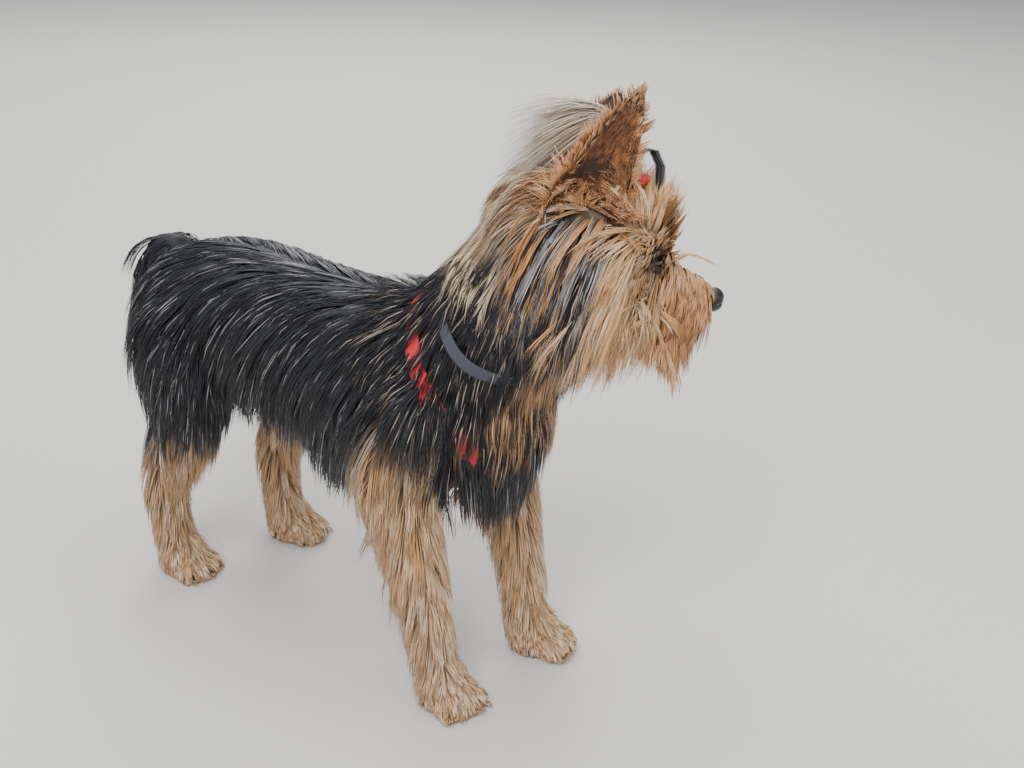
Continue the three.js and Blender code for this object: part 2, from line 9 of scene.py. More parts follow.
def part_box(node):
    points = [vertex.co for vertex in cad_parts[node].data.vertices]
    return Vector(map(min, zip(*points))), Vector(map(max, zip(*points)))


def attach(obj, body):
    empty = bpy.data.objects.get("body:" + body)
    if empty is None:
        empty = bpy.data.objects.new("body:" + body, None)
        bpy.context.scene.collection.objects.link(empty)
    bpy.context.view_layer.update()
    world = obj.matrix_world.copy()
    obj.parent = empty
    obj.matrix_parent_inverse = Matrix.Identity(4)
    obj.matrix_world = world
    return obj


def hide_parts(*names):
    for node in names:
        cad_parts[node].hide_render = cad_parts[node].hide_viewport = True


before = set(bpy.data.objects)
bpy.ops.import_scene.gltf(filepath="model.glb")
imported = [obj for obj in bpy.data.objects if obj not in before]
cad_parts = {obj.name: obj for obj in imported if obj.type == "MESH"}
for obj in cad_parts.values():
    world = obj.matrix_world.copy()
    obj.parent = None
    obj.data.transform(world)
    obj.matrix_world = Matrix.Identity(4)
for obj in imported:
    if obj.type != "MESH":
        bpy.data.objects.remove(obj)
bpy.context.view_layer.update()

# ---------------------------------------------------------------- the dog's own frame
# The dog was measured in millimetres from the ground between its feet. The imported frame
# has its origin under the middle of its box, and the right eye says how far apart they are.
head_place = Vector((142, 20, 250))
head_turn = (
    Matrix.Rotation(math.radians(45), 3, "Z")
    @ Matrix.Rotation(math.radians(13.5), 3, "Y")
    @ Matrix.Rotation(math.radians(-6), 3, "X")
)
eye_at = Vector((29, 17.5, 2))
low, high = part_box("eye_right")
right_eye = head_place + head_turn @ Vector((eye_at.x, -eye_at.y, eye_at.z))
origin = right_eye / 1000 - (low + high) / 2


def place(point):
    """A point of the dog in the frame's metres."""
    return Vector(point) / 1000 - origin


def in_head(point):
    """A point of the head's own frame, forward, left and up, in the dog's frame."""
    return head_place + head_turn @ Vector(point)


# ---------------------------------------------------------------- camera, floor and lights
# The camera stands in front of the dog's right shoulder and looks down on it a little.
image_wide = 1024
focal = 1500
sensor = 36.0
cam = bpy.data.cameras.new("camera")
cam.sensor_width = sensor
cam.lens = focal / image_wide * sensor
cam.clip_start = 0.01
camera = bpy.data.objects.new("camera", cam)
bpy.context.scene.collection.objects.link(camera)
azimuth, elevation, roll = math.radians(-51.5), math.radians(21.9), math.radians(1.5)
backwards = Vector(
    (
        math.cos(elevation) * math.cos(azimuth + math.radians(0)),
        math.cos(elevation) * math.sin(azimuth),
        math.sin(elevation),
    )
)
look = -backwards
right = look.cross(Vector((0, 0, 1))).normalized()
up = right.cross(look)
right, up = (
    right * math.cos(roll) + up * math.sin(roll),
    up * math.cos(roll) - right * math.sin(roll),
)
turn = Matrix((right, up, -look)).transposed().to_4x4()
camera.matrix_world = Matrix.Translation(place((552, -549, 457))) @ turn
bpy.context.scene.camera = camera

bm = bmesh.new()
bmesh.ops.create_grid(bm, x_segments=1, y_segments=1, size=6.0)
floor_mesh = bpy.data.meshes.new("floor")
bm.to_mesh(floor_mesh)
bm.free()
floor = bpy.data.objects.new("floor", floor_mesh)
bpy.context.scene.collection.objects.link(floor)
paint = bpy.data.materials.new("floor")
paint.use_nodes = True
paint.node_tree.nodes["Principled BSDF"].inputs["Base Color"].default_value = (0.62, 0.6, 0.57, 1)
paint.node_tree.nodes["Principled BSDF"].inputs["Roughness"].default_value = 0.9
floor_mesh.materials.append(paint)

for name, at, size, power in (
    ("key", (0.9, -1.6, 2.0), 1.3, 62),
    ("sky", (-0.4, 0.1, 2.4), 2.4, 50),
    ("fill", (2.2, 0.6, 1.0), 1.8, 16),
    ("rim", (-1.4, 1.5, 1.4), 1.2, 26),
):
    lamp = bpy.data.lights.new(name, "AREA")
    lamp.size = size
    lamp.energy = power
    lit = bpy.data.objects.new(name, lamp)
    lit.location = at
    lit.rotation_mode = "QUATERNION"
    lit.rotation_quaternion = (Vector((0, 0, 0.15)) - Vector(at)).to_track_quat("-Z", "Y")
    bpy.context.scene.collection.objects.link(lit)
world = bpy.data.worlds.new("studio")
world.use_nodes = True
world.node_tree.nodes["Background"].inputs["Color"].default_value = (0.86, 0.9, 0.95, 1)
world.node_tree.nodes["Background"].inputs["Strength"].default_value = 0.55
bpy.context.scene.world = world

# ---------------------------------------------------------------- the skin
# One skin over trunk, neck, head, legs and tail, as the dog would look clipped short. Each
# limb is a tube of elliptical stations; a fine remesh grows them together without a seam.
trunk_stations = [
    (-146, 174, 148, 20),
    (-134, 190, 136, 35),
    (-112, 202, 131, 42),
    (-75, 207, 134, 41),
    (-30, 205, 131, 40),
    (15, 205, 120, 43),
    (55, 207, 112, 44),
    (88, 205, 112, 39),
    (110, 194, 122, 29),
    (120, 180, 138, 17),
]
neck_stations = [
    ((84, 0, 178), 36, 38),
    ((108, 4, 208), 33, 34),
    ((130, 9, 237), 29, 29),
    ((140, 12, 250), 22, 22),
]
skull_stations = [
    ((-36, 0, 3), 15, 15),
    ((-26, 0, 4), 25, 24),
    ((-8, 0, 4), 29, 27),
    ((10, 0, 1), 28, 25),
    ((24, 0, -4), 22, 20),
    ((36, 0, -10), 16, 14.5),
    ((52, 0, -14), 13.5, 12),
    ((65, 0, -15), 11, 10.5),
]
tail_stations = [
    ((-140, 0, 192), 8, 9),
    ((-158, 0, 190), 8, 8),
    ((-170, 0, 172), 7, 7),
    ((-174, 0, 148), 5.5, 5.5),
    ((-172, 0, 126), 4, 4),
]
foreleg_thick = (20, 21, 15, 10.5, 9.5, 9.5)
hindleg_thick = (26, 25, 17, 12, 9, 9.5)
leg_joints = {
    "foreleg_right": (
        [(84, -29, 166), (73, -36, 136), (76, -39, 108), (88, -40, 74), (95, -39, 42), (99, -38, 14)],
        foreleg_thick,
        (104, -37, -4),
    ),
    "foreleg_left": (
        [(84, 29, 166), (74, 36, 136), (78, 38, 108), (90, 37, 74), (97, 36, 42), (102, 36, 14)],
        foreleg_thick,
        (107, 38, 24),
    ),
    "hindleg_right": (
        [(-108, -23, 166), (-98, -33, 138), (-93, -38, 112), (-106, -39, 86), (-120, -38, 58), (-117, -35, 14)],
        hindleg_thick,
        (-112, -34, 4),
    ),
    "hindleg_left": (
        [(-106, 23, 166), (-94, 33, 138), (-84, 38, 112), (-92, 39, 86), (-105, 39, 58), (-101, 40, 14)],
        hindleg_thick,
        (-95, 41, 22),
    ),
}


def smooth_through(stations, t):
    """The stations' rows at t from 0 to 1 on a smooth curve through them."""
    rows = np.asarray(stations, float)
    x = np.clip(np.asarray(t, float), 0, 1) * (len(rows) - 1)
    i = np.minimum(x.astype(int), len(rows) - 2)
    f = (x - i)[:, None]
    a, b = rows[i], rows[i + 1]
    before = np.where((i > 0)[:, None], rows[np.maximum(i - 1, 0)], 2 * a - b)
    after = np.where((i < len(rows) - 2)[:, None], rows[np.minimum(i + 2, len(rows) - 1)], 2 * b - a)
    return 0.5 * (
        2 * a + (b - before) * f + (2 * before - 5 * a + 4 * b - after) * f**2 + (3 * a - before - 3 * b + after) * f**3
    )


def unit(v):
    """Rows of vectors at length one."""
    return v / np.maximum(np.linalg.norm(v, axis=-1, keepdims=True), 1e-9)


def turn_outwards(bm):
    """Every face of a closed body looks out."""
    bmesh.ops.recalc_face_normals(bm, faces=bm.faces[:])
    if bm.calc_volume(signed=True) < 0:
        bmesh.ops.reverse_faces(bm, faces=bm.faces[:])
    bm.normal_update()


class Limb:
    """A tube through elliptical stations, each with a centre, a half width and a half depth."""

    def __init__(self, stations, across):
        self.rows = [(*at, wide, deep) for at, wide, deep in stations]
        self.across = np.asarray(across, float)

    def rings(self, t):
        t = np.atleast_1d(np.asarray(t, float))
        here = smooth_through(self.rows, t)
        step = 0.01
        ahead = smooth_through(self.rows, np.minimum(t + step, 1))
        behind = smooth_through(self.rows, np.maximum(t - step, 0))
        along = unit(ahead[:, :3] - behind[:, :3])
        deep = unit(np.cross(along, self.across))
        wide = np.cross(deep, along)
        return here[:, :3], along, wide, deep, here[:, 3], here[:, 4]

    def add_to(self, bm, sides=32, rows=28):
        """The tube as a closed skin with round ends."""
        made = bmesh.ops.create_uvsphere(bm, u_segments=sides, v_segments=rows, radius=1)
        for v in made["verts"]:
            row = round(math.acos(max(-1, min(1, v.co.z))) / math.pi * rows)
            t = min(max((row - 1) / (rows - 2), 0), 1)
            centre, along, wide, deep, a, b = (part[0] for part in self.rings(t))
            if 0 < row < rows:
                angle = math.atan2(v.co.y, v.co.x)
                at = centre + wide * a * math.cos(angle) + deep * b * math.sin(angle)
            else:
                at = centre + along * (0.5 if row else -0.5) * min(a, b)
            v.co = place(at)
        bmesh.ops.recalc_face_normals(bm, faces=list({f for v in made["verts"] for f in v.link_faces}))

    def near(self, points):
        """How far points are from the skin, how far along the tube, and the angle off its top line."""
        best = np.full(len(points), 1e9)
        t_best = np.zeros(len(points))
        angle = np.zeros(len(points))
        for t in np.linspace(0, 1, 25):
            centre, along, wide, deep, a, b = (part[0] for part in self.rings(t))
            off = points - centre
            small = min(a, b)
            x, y, z = off @ wide / a, off @ deep / b, off @ along / (small / 2)
            gap = (np.sqrt(x * x + y * y + z * z) - 1) * small
            hit = gap < best
            best = np.where(hit, gap, best)
            t_best = np.where(hit, t, t_best)
            angle = np.where(hit, np.degrees(np.arctan2(x * a, y * b)), angle)
        return best, t_best, angle


head_left = np.array(head_turn @ Vector((0, 1, 0)))
limbs = {
    "trunk": Limb([((x, 0, (t + b) / 2), w, (t - b) / 2) for x, t, b, w in trunk_stations], (0, 1, 0)),
    "neck": Limb(neck_stations, (0, 1, 0)),
    "head": Limb([(tuple(in_head(at)), w, d) for at, w, d in skull_stations], head_left),
    "tail": Limb(tail_stations, (0, 1, 0)),
}
for name, (joints, thick, paw) in leg_joints.items():
    limbs[name] = Limb([(at, r, r) for at, r in zip(joints, thick)], (0, 1, 0))

bm = bmesh.new()
for limb in limbs.values():
    limb.add_to(bm)


def add_ball(bm, middle, size, turned=Matrix.Identity(3), segments=20):
    """A stretched ball; middle is in the dog's frame and size holds its half lengths."""
    made = bmesh.ops.create_uvsphere(bm, u_segments=segments, v_segments=segments // 2 + 2, radius=1)
    for v in made["verts"]:
        x, y, z = v.co
        v.co = place(Vector(middle) + turned @ Vector((x * size[0], y * size[1], z * size[2])))
    return made["verts"]


def numbers(collection, what, wide):
    """One property of every element as an array."""
    out = np.zeros(len(collection) * wide, np.float32 if what != "vertex_index" else np.int32)
    collection.foreach_get(what, out)
    return out.reshape(-1, wide) if wide > 1 else out


paw_long, paw_wide, paw_tall, toe = 36, 27, 22, 6.2
claw_places = []
for joints, thick, (paw_x, paw_y, paw_turn) in leg_joints.values():
    swing = Matrix.Rotation(math.radians(paw_turn), 3, "Z")
    foot = Vector((paw_x, paw_y, 0))
    add_ball(bm, foot + Vector((0, 0, paw_tall * 0.42)), (paw_long * 0.42, paw_wide / 2, paw_tall * 0.55), swing)
    for spread in (-1.5, -0.5, 0.5, 1.5):
        own = Matrix.Rotation(spread * 0.42, 3, "Z")
        reach = paw_long * 0.5 - abs(spread) * 2.4
        side = spread * paw_wide * 0.22
        middle = foot + swing @ Vector((reach - toe * 0.6, side, toe * 0.95))
        add_ball(bm, middle, (toe * 1.35, toe * 0.82, toe), swing @ own, 14)
        tip = foot + swing @ Vector((reach + toe * 0.62, side + spread * 1.0, toe * 0.95))
        claw_places.append((tip, swing @ own))
# Brow ridges, cheeks and the pads that carry the whiskers.
for side in (1, -1):
    add_ball(bm, in_head((22, 13 * side, 12)), (12, 8, 7), head_turn)
    add_ball(bm, in_head((6, 20 * side, -9)), (17, 10, 12), head_turn)
    add_ball(bm, in_head((57, 7 * side, -19)), (12, 7, 7.5), head_turn)
add_ball(bm, in_head((48, 0, -25)), (15, 8, 5), head_turn)

skin_mesh = bpy.data.meshes.new("skin")
bm.to_mesh(skin_mesh)
bm.free()
skin = bpy.data.objects.new("skin", skin_mesh)
bpy.context.scene.collection.objects.link(skin)
remesh = skin.modifiers.new("grow_together", "REMESH")
remesh.mode = "VOXEL"
remesh.voxel_size = 0.0023
bpy.context.view_layer.update()
grown = bpy.data.meshes.new_from_object(skin.evaluated_get(bpy.context.evaluated_depsgraph_get()))
skin.modifiers.clear()
# The grown skin comes in any order; in one fixed order the coat's chances are the same each time.
corner = numbers(grown.vertices, "co", 3)
quads = numbers(grown.loops, "vertex_index", 1).reshape(-1, 4)
order = np.lexsort(corner.T)
rank = np.argsort(order)
quads = rank[quads]
first = quads.argmin(1)
quads = np.take_along_axis(quads, (first[:, None] + np.arange(4)) % 4, 1)
quads = quads[np.lexsort(quads.T)]
grown = bpy.data.meshes.new("grown")
grown.from_pydata(corner[order].tolist(), [], quads.tolist())
skin.data = grown
bm = bmesh.new()
bm.from_mesh(grown)
for _ in range(4):
    bmesh.ops.smooth_vert(bm, verts=bm.verts, factor=0.5, use_axis_x=True, use_axis_y=True, use_axis_z=True)
eye_radius = 6.9
eye_ways = {side: (head_turn @ Vector((0.62, 0.76 * side, 0.12))).normalized() for side in (1, -1)}
eyes = {side: in_head((eye_at.x, eye_at.y * side, eye_at.z)) - eye_ways[side] * 0.8 for side in (1, -1)}
for v in bm.verts:
    # The soles are flat, and the orbits keep clear of the eyeballs.
    v.co.z = max(v.co.z, 0.0004)
    for side, eye in eyes.items():
        off = v.co - place(eye)
        cover = (eye_radius + 0.9) / 1000
        facing = off.normalized().dot(eye_ways[side])
        if off.length < cover * 1.5 and facing > 0.80:
            v.co = place(eye) + off.normalized() * cover * 0.7
        elif off.length < cover and facing > 0:
            v.co = place(eye) + off.normalized() * cover
bm.to_mesh(grown)
bm.free()


# Each ear is a thin pointed leaf curled into a cup that opens outwards, wrapped most at its foot.
ear_foot, ear_tip, ear_facing = Vector((-11, 22, 10)), Vector((0, 33, 80)), Vector((0.3, 0.95, 0))
left_ear_tip = Vector((5, 31, 73))
ear_wide, ear_thick = 50, 2.4


def ear_point(side, x, v, depth=0.0):
    """A point of an ear: x from -1 to 1 across, v from foot to tip, depth into its back."""
    mirrored = Vector((1, side, 1))
    foot = in_head(ear_foot * mirrored)
    rise = in_head((ear_tip if side < 0 else left_ear_tip) * mirrored) - foot
    upwards = rise.normalized()
    facing = head_turn @ (ear_facing * mirrored)
    facing = (facing - upwards * facing.dot(upwards)).normalized()
    aside = upwards.cross(facing)
    half = ear_wide / 2 * max(1 - v, 0) ** 0.72 + 0.6
    wrap = math.radians(68 + (18 - 68) * v**0.6)
    bend = half / wrap
    reach = bend - depth
    angle = x * wrap
    forward = bend - reach * math.cos(angle) - bend * 0.4 * (1 - v)
    return foot + upwards * (v * rise.length) + aside * (reach * math.sin(angle)) + facing * forward


ear_meshes = []
for side in (1, -1):
    bm = bmesh.new()
    made = bmesh.ops.create_grid(bm, x_segments=22, y_segments=30, size=1)
    for v in made["verts"]:
        v.co = place(ear_point(side, v.co.x, (v.co.y + 1) / 2))
    bmesh.ops.solidify(bm, geom=bm.faces[:] + bm.edges[:] + bm.verts[:], thickness=ear_thick / 1000)
    turn_outwards(bm)
    for _ in range(2):
        bmesh.ops.smooth_vert(bm, verts=bm.verts, factor=0.5, use_axis_x=True, use_axis_y=True, use_axis_z=True)
    ear_mesh = bpy.data.meshes.new("ear")
    bm.to_mesh(ear_mesh)
    bm.free()
    ear_meshes.append(ear_mesh)

# The eyelids are a rim of bare black skin round each eye, open in an almond.
lid_meshes = []
for side in (1, -1):
    facing = eye_ways[side]
    aside = (head_turn @ Vector((0, 0, 1))).cross(facing).normalized()
    upward = facing.cross(aside)
    bm = bmesh.new()
    bmesh.ops.create_uvsphere(bm, u_segments=48, v_segments=40, radius=1)
    for v in bm.verts:
        x, y, z = v.co
        v.co = place(eyes[side] + (aside * x + upward * y + facing * z) * (eye_radius + 1.0))
    lost = []
    for f in bm.faces:
        off = f.calc_center_median() - place(eyes[side])
        x, y, z = (off.dot(way) * 1000 for way in (aside, upward, facing))
        if z < 6.1 or (x / 4.1) ** 2 + ((y - 0.2) / 2.6) ** 2 < 1:
            lost.append(f)
    bmesh.ops.delete(bm, geom=lost, context="FACES")
    bmesh.ops.solidify(bm, geom=bm.faces[:] + bm.edges[:] + bm.verts[:], thickness=-0.0008)
    turn_outwards(bm)
    for _ in range(2):
        bmesh.ops.smooth_vert(bm, verts=bm.verts, factor=0.5, use_axis_x=True, use_axis_y=True, use_axis_z=True)
    lid_mesh = bpy.data.meshes.new("lid")
    bm.to_mesh(lid_mesh)
    bm.free()
    lid_meshes.append(lid_mesh)

body_verts = len(skin.data.vertices)
body_faces = len(skin.data.polygons)
bm = bmesh.new()
bm.from_mesh(skin.data)
for part in ear_meshes + lid_meshes:
    bm.from_mesh(part)
ear_verts = body_verts + sum(len(m.vertices) for m in ear_meshes)
ear_faces = body_faces + sum(len(m.polygons) for m in ear_meshes)
bm.to_mesh(skin.data)
bm.free()
skin.data.name = "skin_whole"
skin.data.polygons.foreach_set("use_smooth", [True] * len(skin.data.polygons))
skin.data.uv_layers.new(name="OFBake")
bpy.context.view_layer.objects.active = skin
for o in bpy.context.selected_objects:
    o.select_set(False)
skin.select_set(True)
bpy.ops.object.mode_set(mode="EDIT")
bpy.ops.mesh.select_all(action="SELECT")
bpy.ops.uv.smart_project(angle_limit=math.radians(66), island_margin=0.001)
bpy.ops.object.mode_set(mode="OBJECT")
skin.select_set(False)
print("skin", len(skin.data.polygons), "faces")


def to_dog(points):
    """Frame metres to the dog's millimetres."""
    return (np.asarray(points) + np.array(origin)) * 1000


turn_rows = np.array(head_turn)


def to_head(points):
    """The dog's millimetres to the head's forward, left and up."""
    return (points - np.array(head_place)) @ turn_rows


def parts_of(points):
    """Which limb each point belongs to, how far along it and at what angle off its top line."""
    names = list(limbs)
    found = [limbs[n].near(points) for n in names]
    gaps = np.array([f[0] for f in found])
    f, l, u = to_head(points).T
    gaps[names.index("head")] -= np.where(f > 20, 12, 0)
    which = gaps.argmin(0)
    rows = np.arange(len(points))
    t = np.array([f[1] for f in found])[which, rows]
    angle = np.array([f[2] for f in found])[which, rows]
    return np.array(names)[which], t, angle


def linear(hexed):
    """A colour written as red, green and blue from 0 to 255, in linear light."""
    c = np.asarray(hexed, float) / 255
    return np.where(c <= 0.04045, c / 12.92, ((c + 0.055) / 1.055) ** 2.4)


steel, slate, silver = linear((32, 33, 38)), linear((84, 87, 98)), linear((186, 184, 186))
tan, cream, gold = linear((220, 170, 118)), linear((248, 226, 194)), linear((228, 166, 100))
rust, umber, soot = linear((182, 112, 60)), linear((84, 50, 30)), linear((24, 20, 20))


def mix(a, b, share):
    """Rows of colour a with a share of b."""
    return a + (b - a) * np.clip(share, 0, 1)[:, None]


def between(x, lowest, highest):
    """0 below lowest, 1 above highest, smooth between."""
    s = np.clip((x - lowest) / (highest - lowest), 0, 1)
    return s * s * (3 - 2 * s)


def markings(points, names, t, angle, clump, single, ear_dark=None):
    """The coat's colour at its roots. clump and single are chances that vary by lock and by hair."""
    n = len(points)
    x, y, z = points.T
    f, l, u = to_head(points).T
    flat = np.ones(n)
    c = mix(flat[:, None] * steel, slate, flat * 0.18 * clump)
    c = mix(c, silver, (single > 0.93) * 0.42)
    # The fringe under the flank and behind the elbow greys.
    c = mix(c, slate, between(-z, -142, -118) * 0.5 * (names == "trunk"))
    steel_coat = c
    legs_tan = mix(mix(flat[:, None] * tan, cream, clump * 0.75), rust, (single > 0.8) * 0.4)
    fore = np.char.startswith(names, "foreleg")
    hind = np.char.startswith(names, "hindleg")
    c = mix(c, legs_tan, fore * between(-z, -172, -146))
    edge = 122 - 0.62 * np.clip(-(x + 96), 0, 60)
    c = mix(c, legs_tan, hind * between(-z, -edge, -edge + 14))
    # Tan between the forelegs and at the breast's foot.
    c = mix(c, legs_tan, (names == "trunk") * between(x, 84, 104) * between(-z, -132, -118))
    # The neck: black with cream and tan strands, palest behind the ears.
    pale = np.clip(0.2 + 0.5 * between(-angle_abs(angle), -85, -35), 0, 1) * between(t, 0.62, 1.0)
    streak = np.where(clump < pale, 1.0, 0.0) * (0.45 + 0.5 * single) + (single > 0.92) * 0.3
    neck = mix(steel_coat, mix(flat[:, None] * cream, tan, single * 0.6), streak)
    throat = between(angle_abs(angle), 120, 150) * (names == "neck")
    neck = mix(neck, mix(steel_coat, tan, flat * (clump > 0.5)), throat * 0.7)
    c = np.where((names == "neck")[:, None], neck, c)
    # The head: gold, with cream locks, and slate and silver on the cheeks behind the jaw.
    face = mix(mix(flat[:, None] * gold, cream, clump * 0.85), tan, single * 0.4)
    cheek = between(-f, -14, -5) * between(np.abs(l), 8, 14) * between(-u, -23, -14)
    mixed = mix(flat[:, None] * steel, silver, (clump > 0.82) * 0.5 + (single > 0.72) * 0.6)
    face = mix(face, mixed, cheek * (clump > 0.14) * 0.97)
    crown = between(-f, -8, 14) * between(u, 15, 22)
    face = mix(face, np.where((clump > 0.25)[:, None], cream, umber), crown * 0.8)
    nape = between(-f, 22, 32) * between(-u, -22, -8)
    face = mix(face, np.where((clump > 0.5)[:, None], steel, cream), nape * 0.95)
    red = between(f, 34, 46) * between(-u, -6, 6) + 0.5 * between(-np.hypot(f - 36, u - 9), -13, -7)
    face = mix(face, rust, red * (0.3 + 0.45 * clump))
    socket = np.exp(-(((f - 31) / 6.5) ** 2) - (((u - 2) / 5.5) ** 2)) * (np.abs(l) > 9)
    face = mix(face, umber * 0.7, socket * 0.9)
    c = np.where((names == "head")[:, None], face, c)
    ear = mix(mix(flat[:, None] * gold, cream, clump * 0.5), rust, (single > 0.5) * 0.7)
    if ear_dark is not None:
        ear = mix(ear, mix(flat[:, None] * umber, rust, single * 0.45 + (clump > 0.7) * 0.3), ear_dark)
    c = np.where((names == "ear")[:, None], ear, c)
    return c


def angle_abs(angle):
    """The angle off the top line on either side."""
    return np.abs(angle)


class Value:
    """A socket of one finish, so that shader maths reads as sums."""

    def __init__(self, finish, socket):
        self.finish, self.socket = finish, socket

    def _with(self, operation, a, b):
        return self.finish.node("ShaderNodeMath", {"operation": operation}, (a, b))

    def __add__(self, other):
        return self._with("ADD", self, other)

    def __mul__(self, other):
        return self._with("MULTIPLY", self, other)

    def __sub__(self, other):
        return self._with("SUBTRACT", self, other)

    def __rsub__(self, other):
        return self._with("SUBTRACT", other, self)

    def __truediv__(self, other):
        return self._with("DIVIDE", self, other)

    def __pow__(self, other):
        return self._with("POWER", self, other)

    __radd__ = __add__
    __rmul__ = __mul__


class Finish:
    """One material: a shader with its constants, and the nodes that vary what may vary."""

    def __init__(self, name, **constants):
        self.material = bpy.data.materials.new(name)
        self.material.use_nodes = True
        self.tree = self.material.node_tree
        self.shader = self.tree.nodes["Principled BSDF"]
        for socket, value in constants.items():
            self.shader.inputs[socket.replace("_", " ")].default_value = value

    def node(self, kind, settings=None, values=(), out=0):
        made = self.tree.nodes.new(kind)
        for key, value in (settings or {}).items():
            setattr(made, key, value)
        entries = values.items() if isinstance(values, dict) else enumerate(values)
        for key, value in entries:
            if isinstance(value, Value):
                self.tree.links.new(value.socket, made.inputs[key])
            elif value is not None:
                made.inputs[key].default_value = value
        return Value(self, made.outputs[out])

    def tint(self, colour, amount):
        """A colour made lighter or darker by a number."""
        return self.node("ShaderNodeVectorMath", {"operation": "SCALE"}, {0: colour, "Scale": amount})

    def blend(self, a, b, share):
        return self.node("ShaderNodeMix", {"data_type": "RGBA"}, {0: share, 6: a, 7: b}, out=2)

    def own(self, name, out):
        """One of the piece's own attributes."""
        return self.node("ShaderNodeAttribute", {"attribute_name": name}, out=out)

    def put(self, socket, value):
        self.tree.links.new(value.socket, self.shader.inputs[socket])


# The skin carries the coat's markings, darkened as painted shade from the coat over it, with a fine grain.
skin_finish = Finish("skin_and_undercoat", Roughness=0.7)
where = skin_finish.node("ShaderNodeTexCoord", out=3)
base = skin_finish.own("marking", 0)
grain = skin_finish.node("ShaderNodeTexNoise", {}, {"Vector": where, "Scale": 900.0, "Detail": 3.0})
skin_finish.put("Base Color", skin_finish.tint(base, grain * 0.5 + 0.5))
bumped = skin_finish.node("ShaderNodeBump", {}, {"Strength": 0.5, "Distance": 0.0006, "Height": grain})
skin_finish.put("Normal", bumped)
skin.data.materials.append(skin_finish.material)

points = to_dog(numbers(skin.data.vertices, "co", 3))
names, t, angle = parts_of(points)
names = names.astype("<U16")
names[body_verts:] = "ear"
half = np.full(len(points), 0.5)
# Painted shade: the skin takes the coat's markings at 0.55 of their brightness, as if shaded by the coat lying over it.
colours = markings(points, names, t, angle, half, half) * 0.55
f, l, u = to_head(points).T
inner_ear = np.zeros(len(points), bool)
inner_ear[body_verts:ear_verts] = True
colours[body_verts:ear_verts] = umber * 0.5
colours[ear_verts:] = umber * 0.3
on_head = names == "head"
lip = np.exp(-(((u + 20) / 1.6) ** 2)) * (f > 44) * on_head
colours = mix(colours, soot, lip)
for eye in eyes.values():
    away = np.linalg.norm(points - np.array(eye), axis=1)
    colours = mix(colours, umber * 0.35, between(-away, -13, -9) * on_head)
marking = skin.data.attributes.new("marking", "FLOAT_COLOR", "POINT")
marking.data.foreach_set("color", np.column_stack([colours, np.ones(len(colours))]).astype(np.float32).ravel())

flesh_nodes = ["torso", "neck", "head", "tail", "ear_right", "ear_left"]
for leg in leg_joints:
    flesh_nodes += [f"{leg}_upper", f"{leg}_lower", f"{leg}_paw"]
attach(skin, "root")
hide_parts(*flesh_nodes)

# ---------------------------------------------------------------- the coat
# Fine silky hair without an undercoat. It hangs in thin locks from its roots, back and down
# over the body, forwards off the muzzle, and short on the ears and feet.
rng = np.random.default_rng(4711)
skin.data.calc_loop_triangles()
corner = numbers(skin.data.vertices, "co", 3)
faces = numbers(skin.data.loop_triangles, "vertices", 3).astype(int)
loops = numbers(skin.data.loop_triangles, "loops", 3).astype(int)
normals = numbers(skin.data.vertices, "normal", 3)
uvs = numbers(skin.data.uv_layers["OFBake"].data, "uv", 2)
tree = bvhtree.BVHTree.FromPolygons(corner.tolist(), faces[: body_faces * 2].tolist())
tri = corner[faces]
area = np.linalg.norm(np.cross(tri[:, 1] - tri[:, 0], tri[:, 2] - tri[:, 0]), axis=1) / 2 * 1e4
middle = to_dog(tri.mean(1))
tri_names, tri_t, tri_angle = parts_of(middle)
tri_names = tri_names.astype("<U16")
tri_ear = (faces[:, 0] >= body_verts) & (faces[:, 0] < ear_verts)
tri_lid = faces[:, 0] >= ear_verts
tri_names[tri_ear] = "ear"
eye_gap = np.min([np.linalg.norm(middle - np.array(e), axis=1) for e in eyes.values()], axis=0)
f, l, u = to_head(middle).T
nose_gap = np.linalg.norm(np.column_stack([f - 70.5, l, u + 13]), axis=1)
per_area = {"trunk": 36, "neck": 58, "head": 130, "tail": 40, "ear": 105}
density = np.array([per_area.get(n, 30) for n in tri_names], float)
density[(tri_names == "trunk") & (np.abs(tri_angle) > 140) & (tri_t < 0.85)] *= 0.4
low_leg = (np.char.startswith(tri_names, "foreleg") | np.char.startswith(tri_names, "hindleg")) & (middle[:, 2] < 30)
density[low_leg] = 62
density[(tri_names == "head") & (f > 20)] = 175
opening = np.zeros(len(faces), bool)
for s in (1, -1):
    off = middle - np.array(eyes[s])
    opening |= (np.linalg.norm(off, axis=1) < 11) & (unit(off) @ np.array(eye_ways[s]) > 0.88)
density[tri_lid | opening | (middle[:, 2] < 1.5) | (nose_gap < 7.0)] = 0
wanted = area * density
count = np.floor(wanted + rng.random(len(wanted))).astype(int)
which = np.repeat(np.arange(len(faces)), count)
a, b = rng.random(len(which)), rng.random(len(which))
flip = a + b > 1
a[flip], b[flip] = 1 - a[flip], 1 - b[flip]
share = np.column_stack([1 - a - b, a, b])[:, :, None]
root = (corner[faces[which]] * share).sum(1)
out = unit((normals[faces[which]] * share).sum(1))
root_uv = (uvs[loops[which]] * share).sum(1)
names = tri_names[which]
t, angle = tri_t[which], tri_angle[which]
print("hairs", len(root))
points = to_dog(root)
x, y, z = points.T
f, l, u = to_head(points).T
side = np.sign(np.where(names == "head", l, y))
side[side == 0] = 1
steep = np.abs(angle)
n = len(root)


def table(at, stops):
    """Values between a table's stops, for each place."""
    return np.interp(at, [s[0] for s in stops], [s[1] for s in stops])


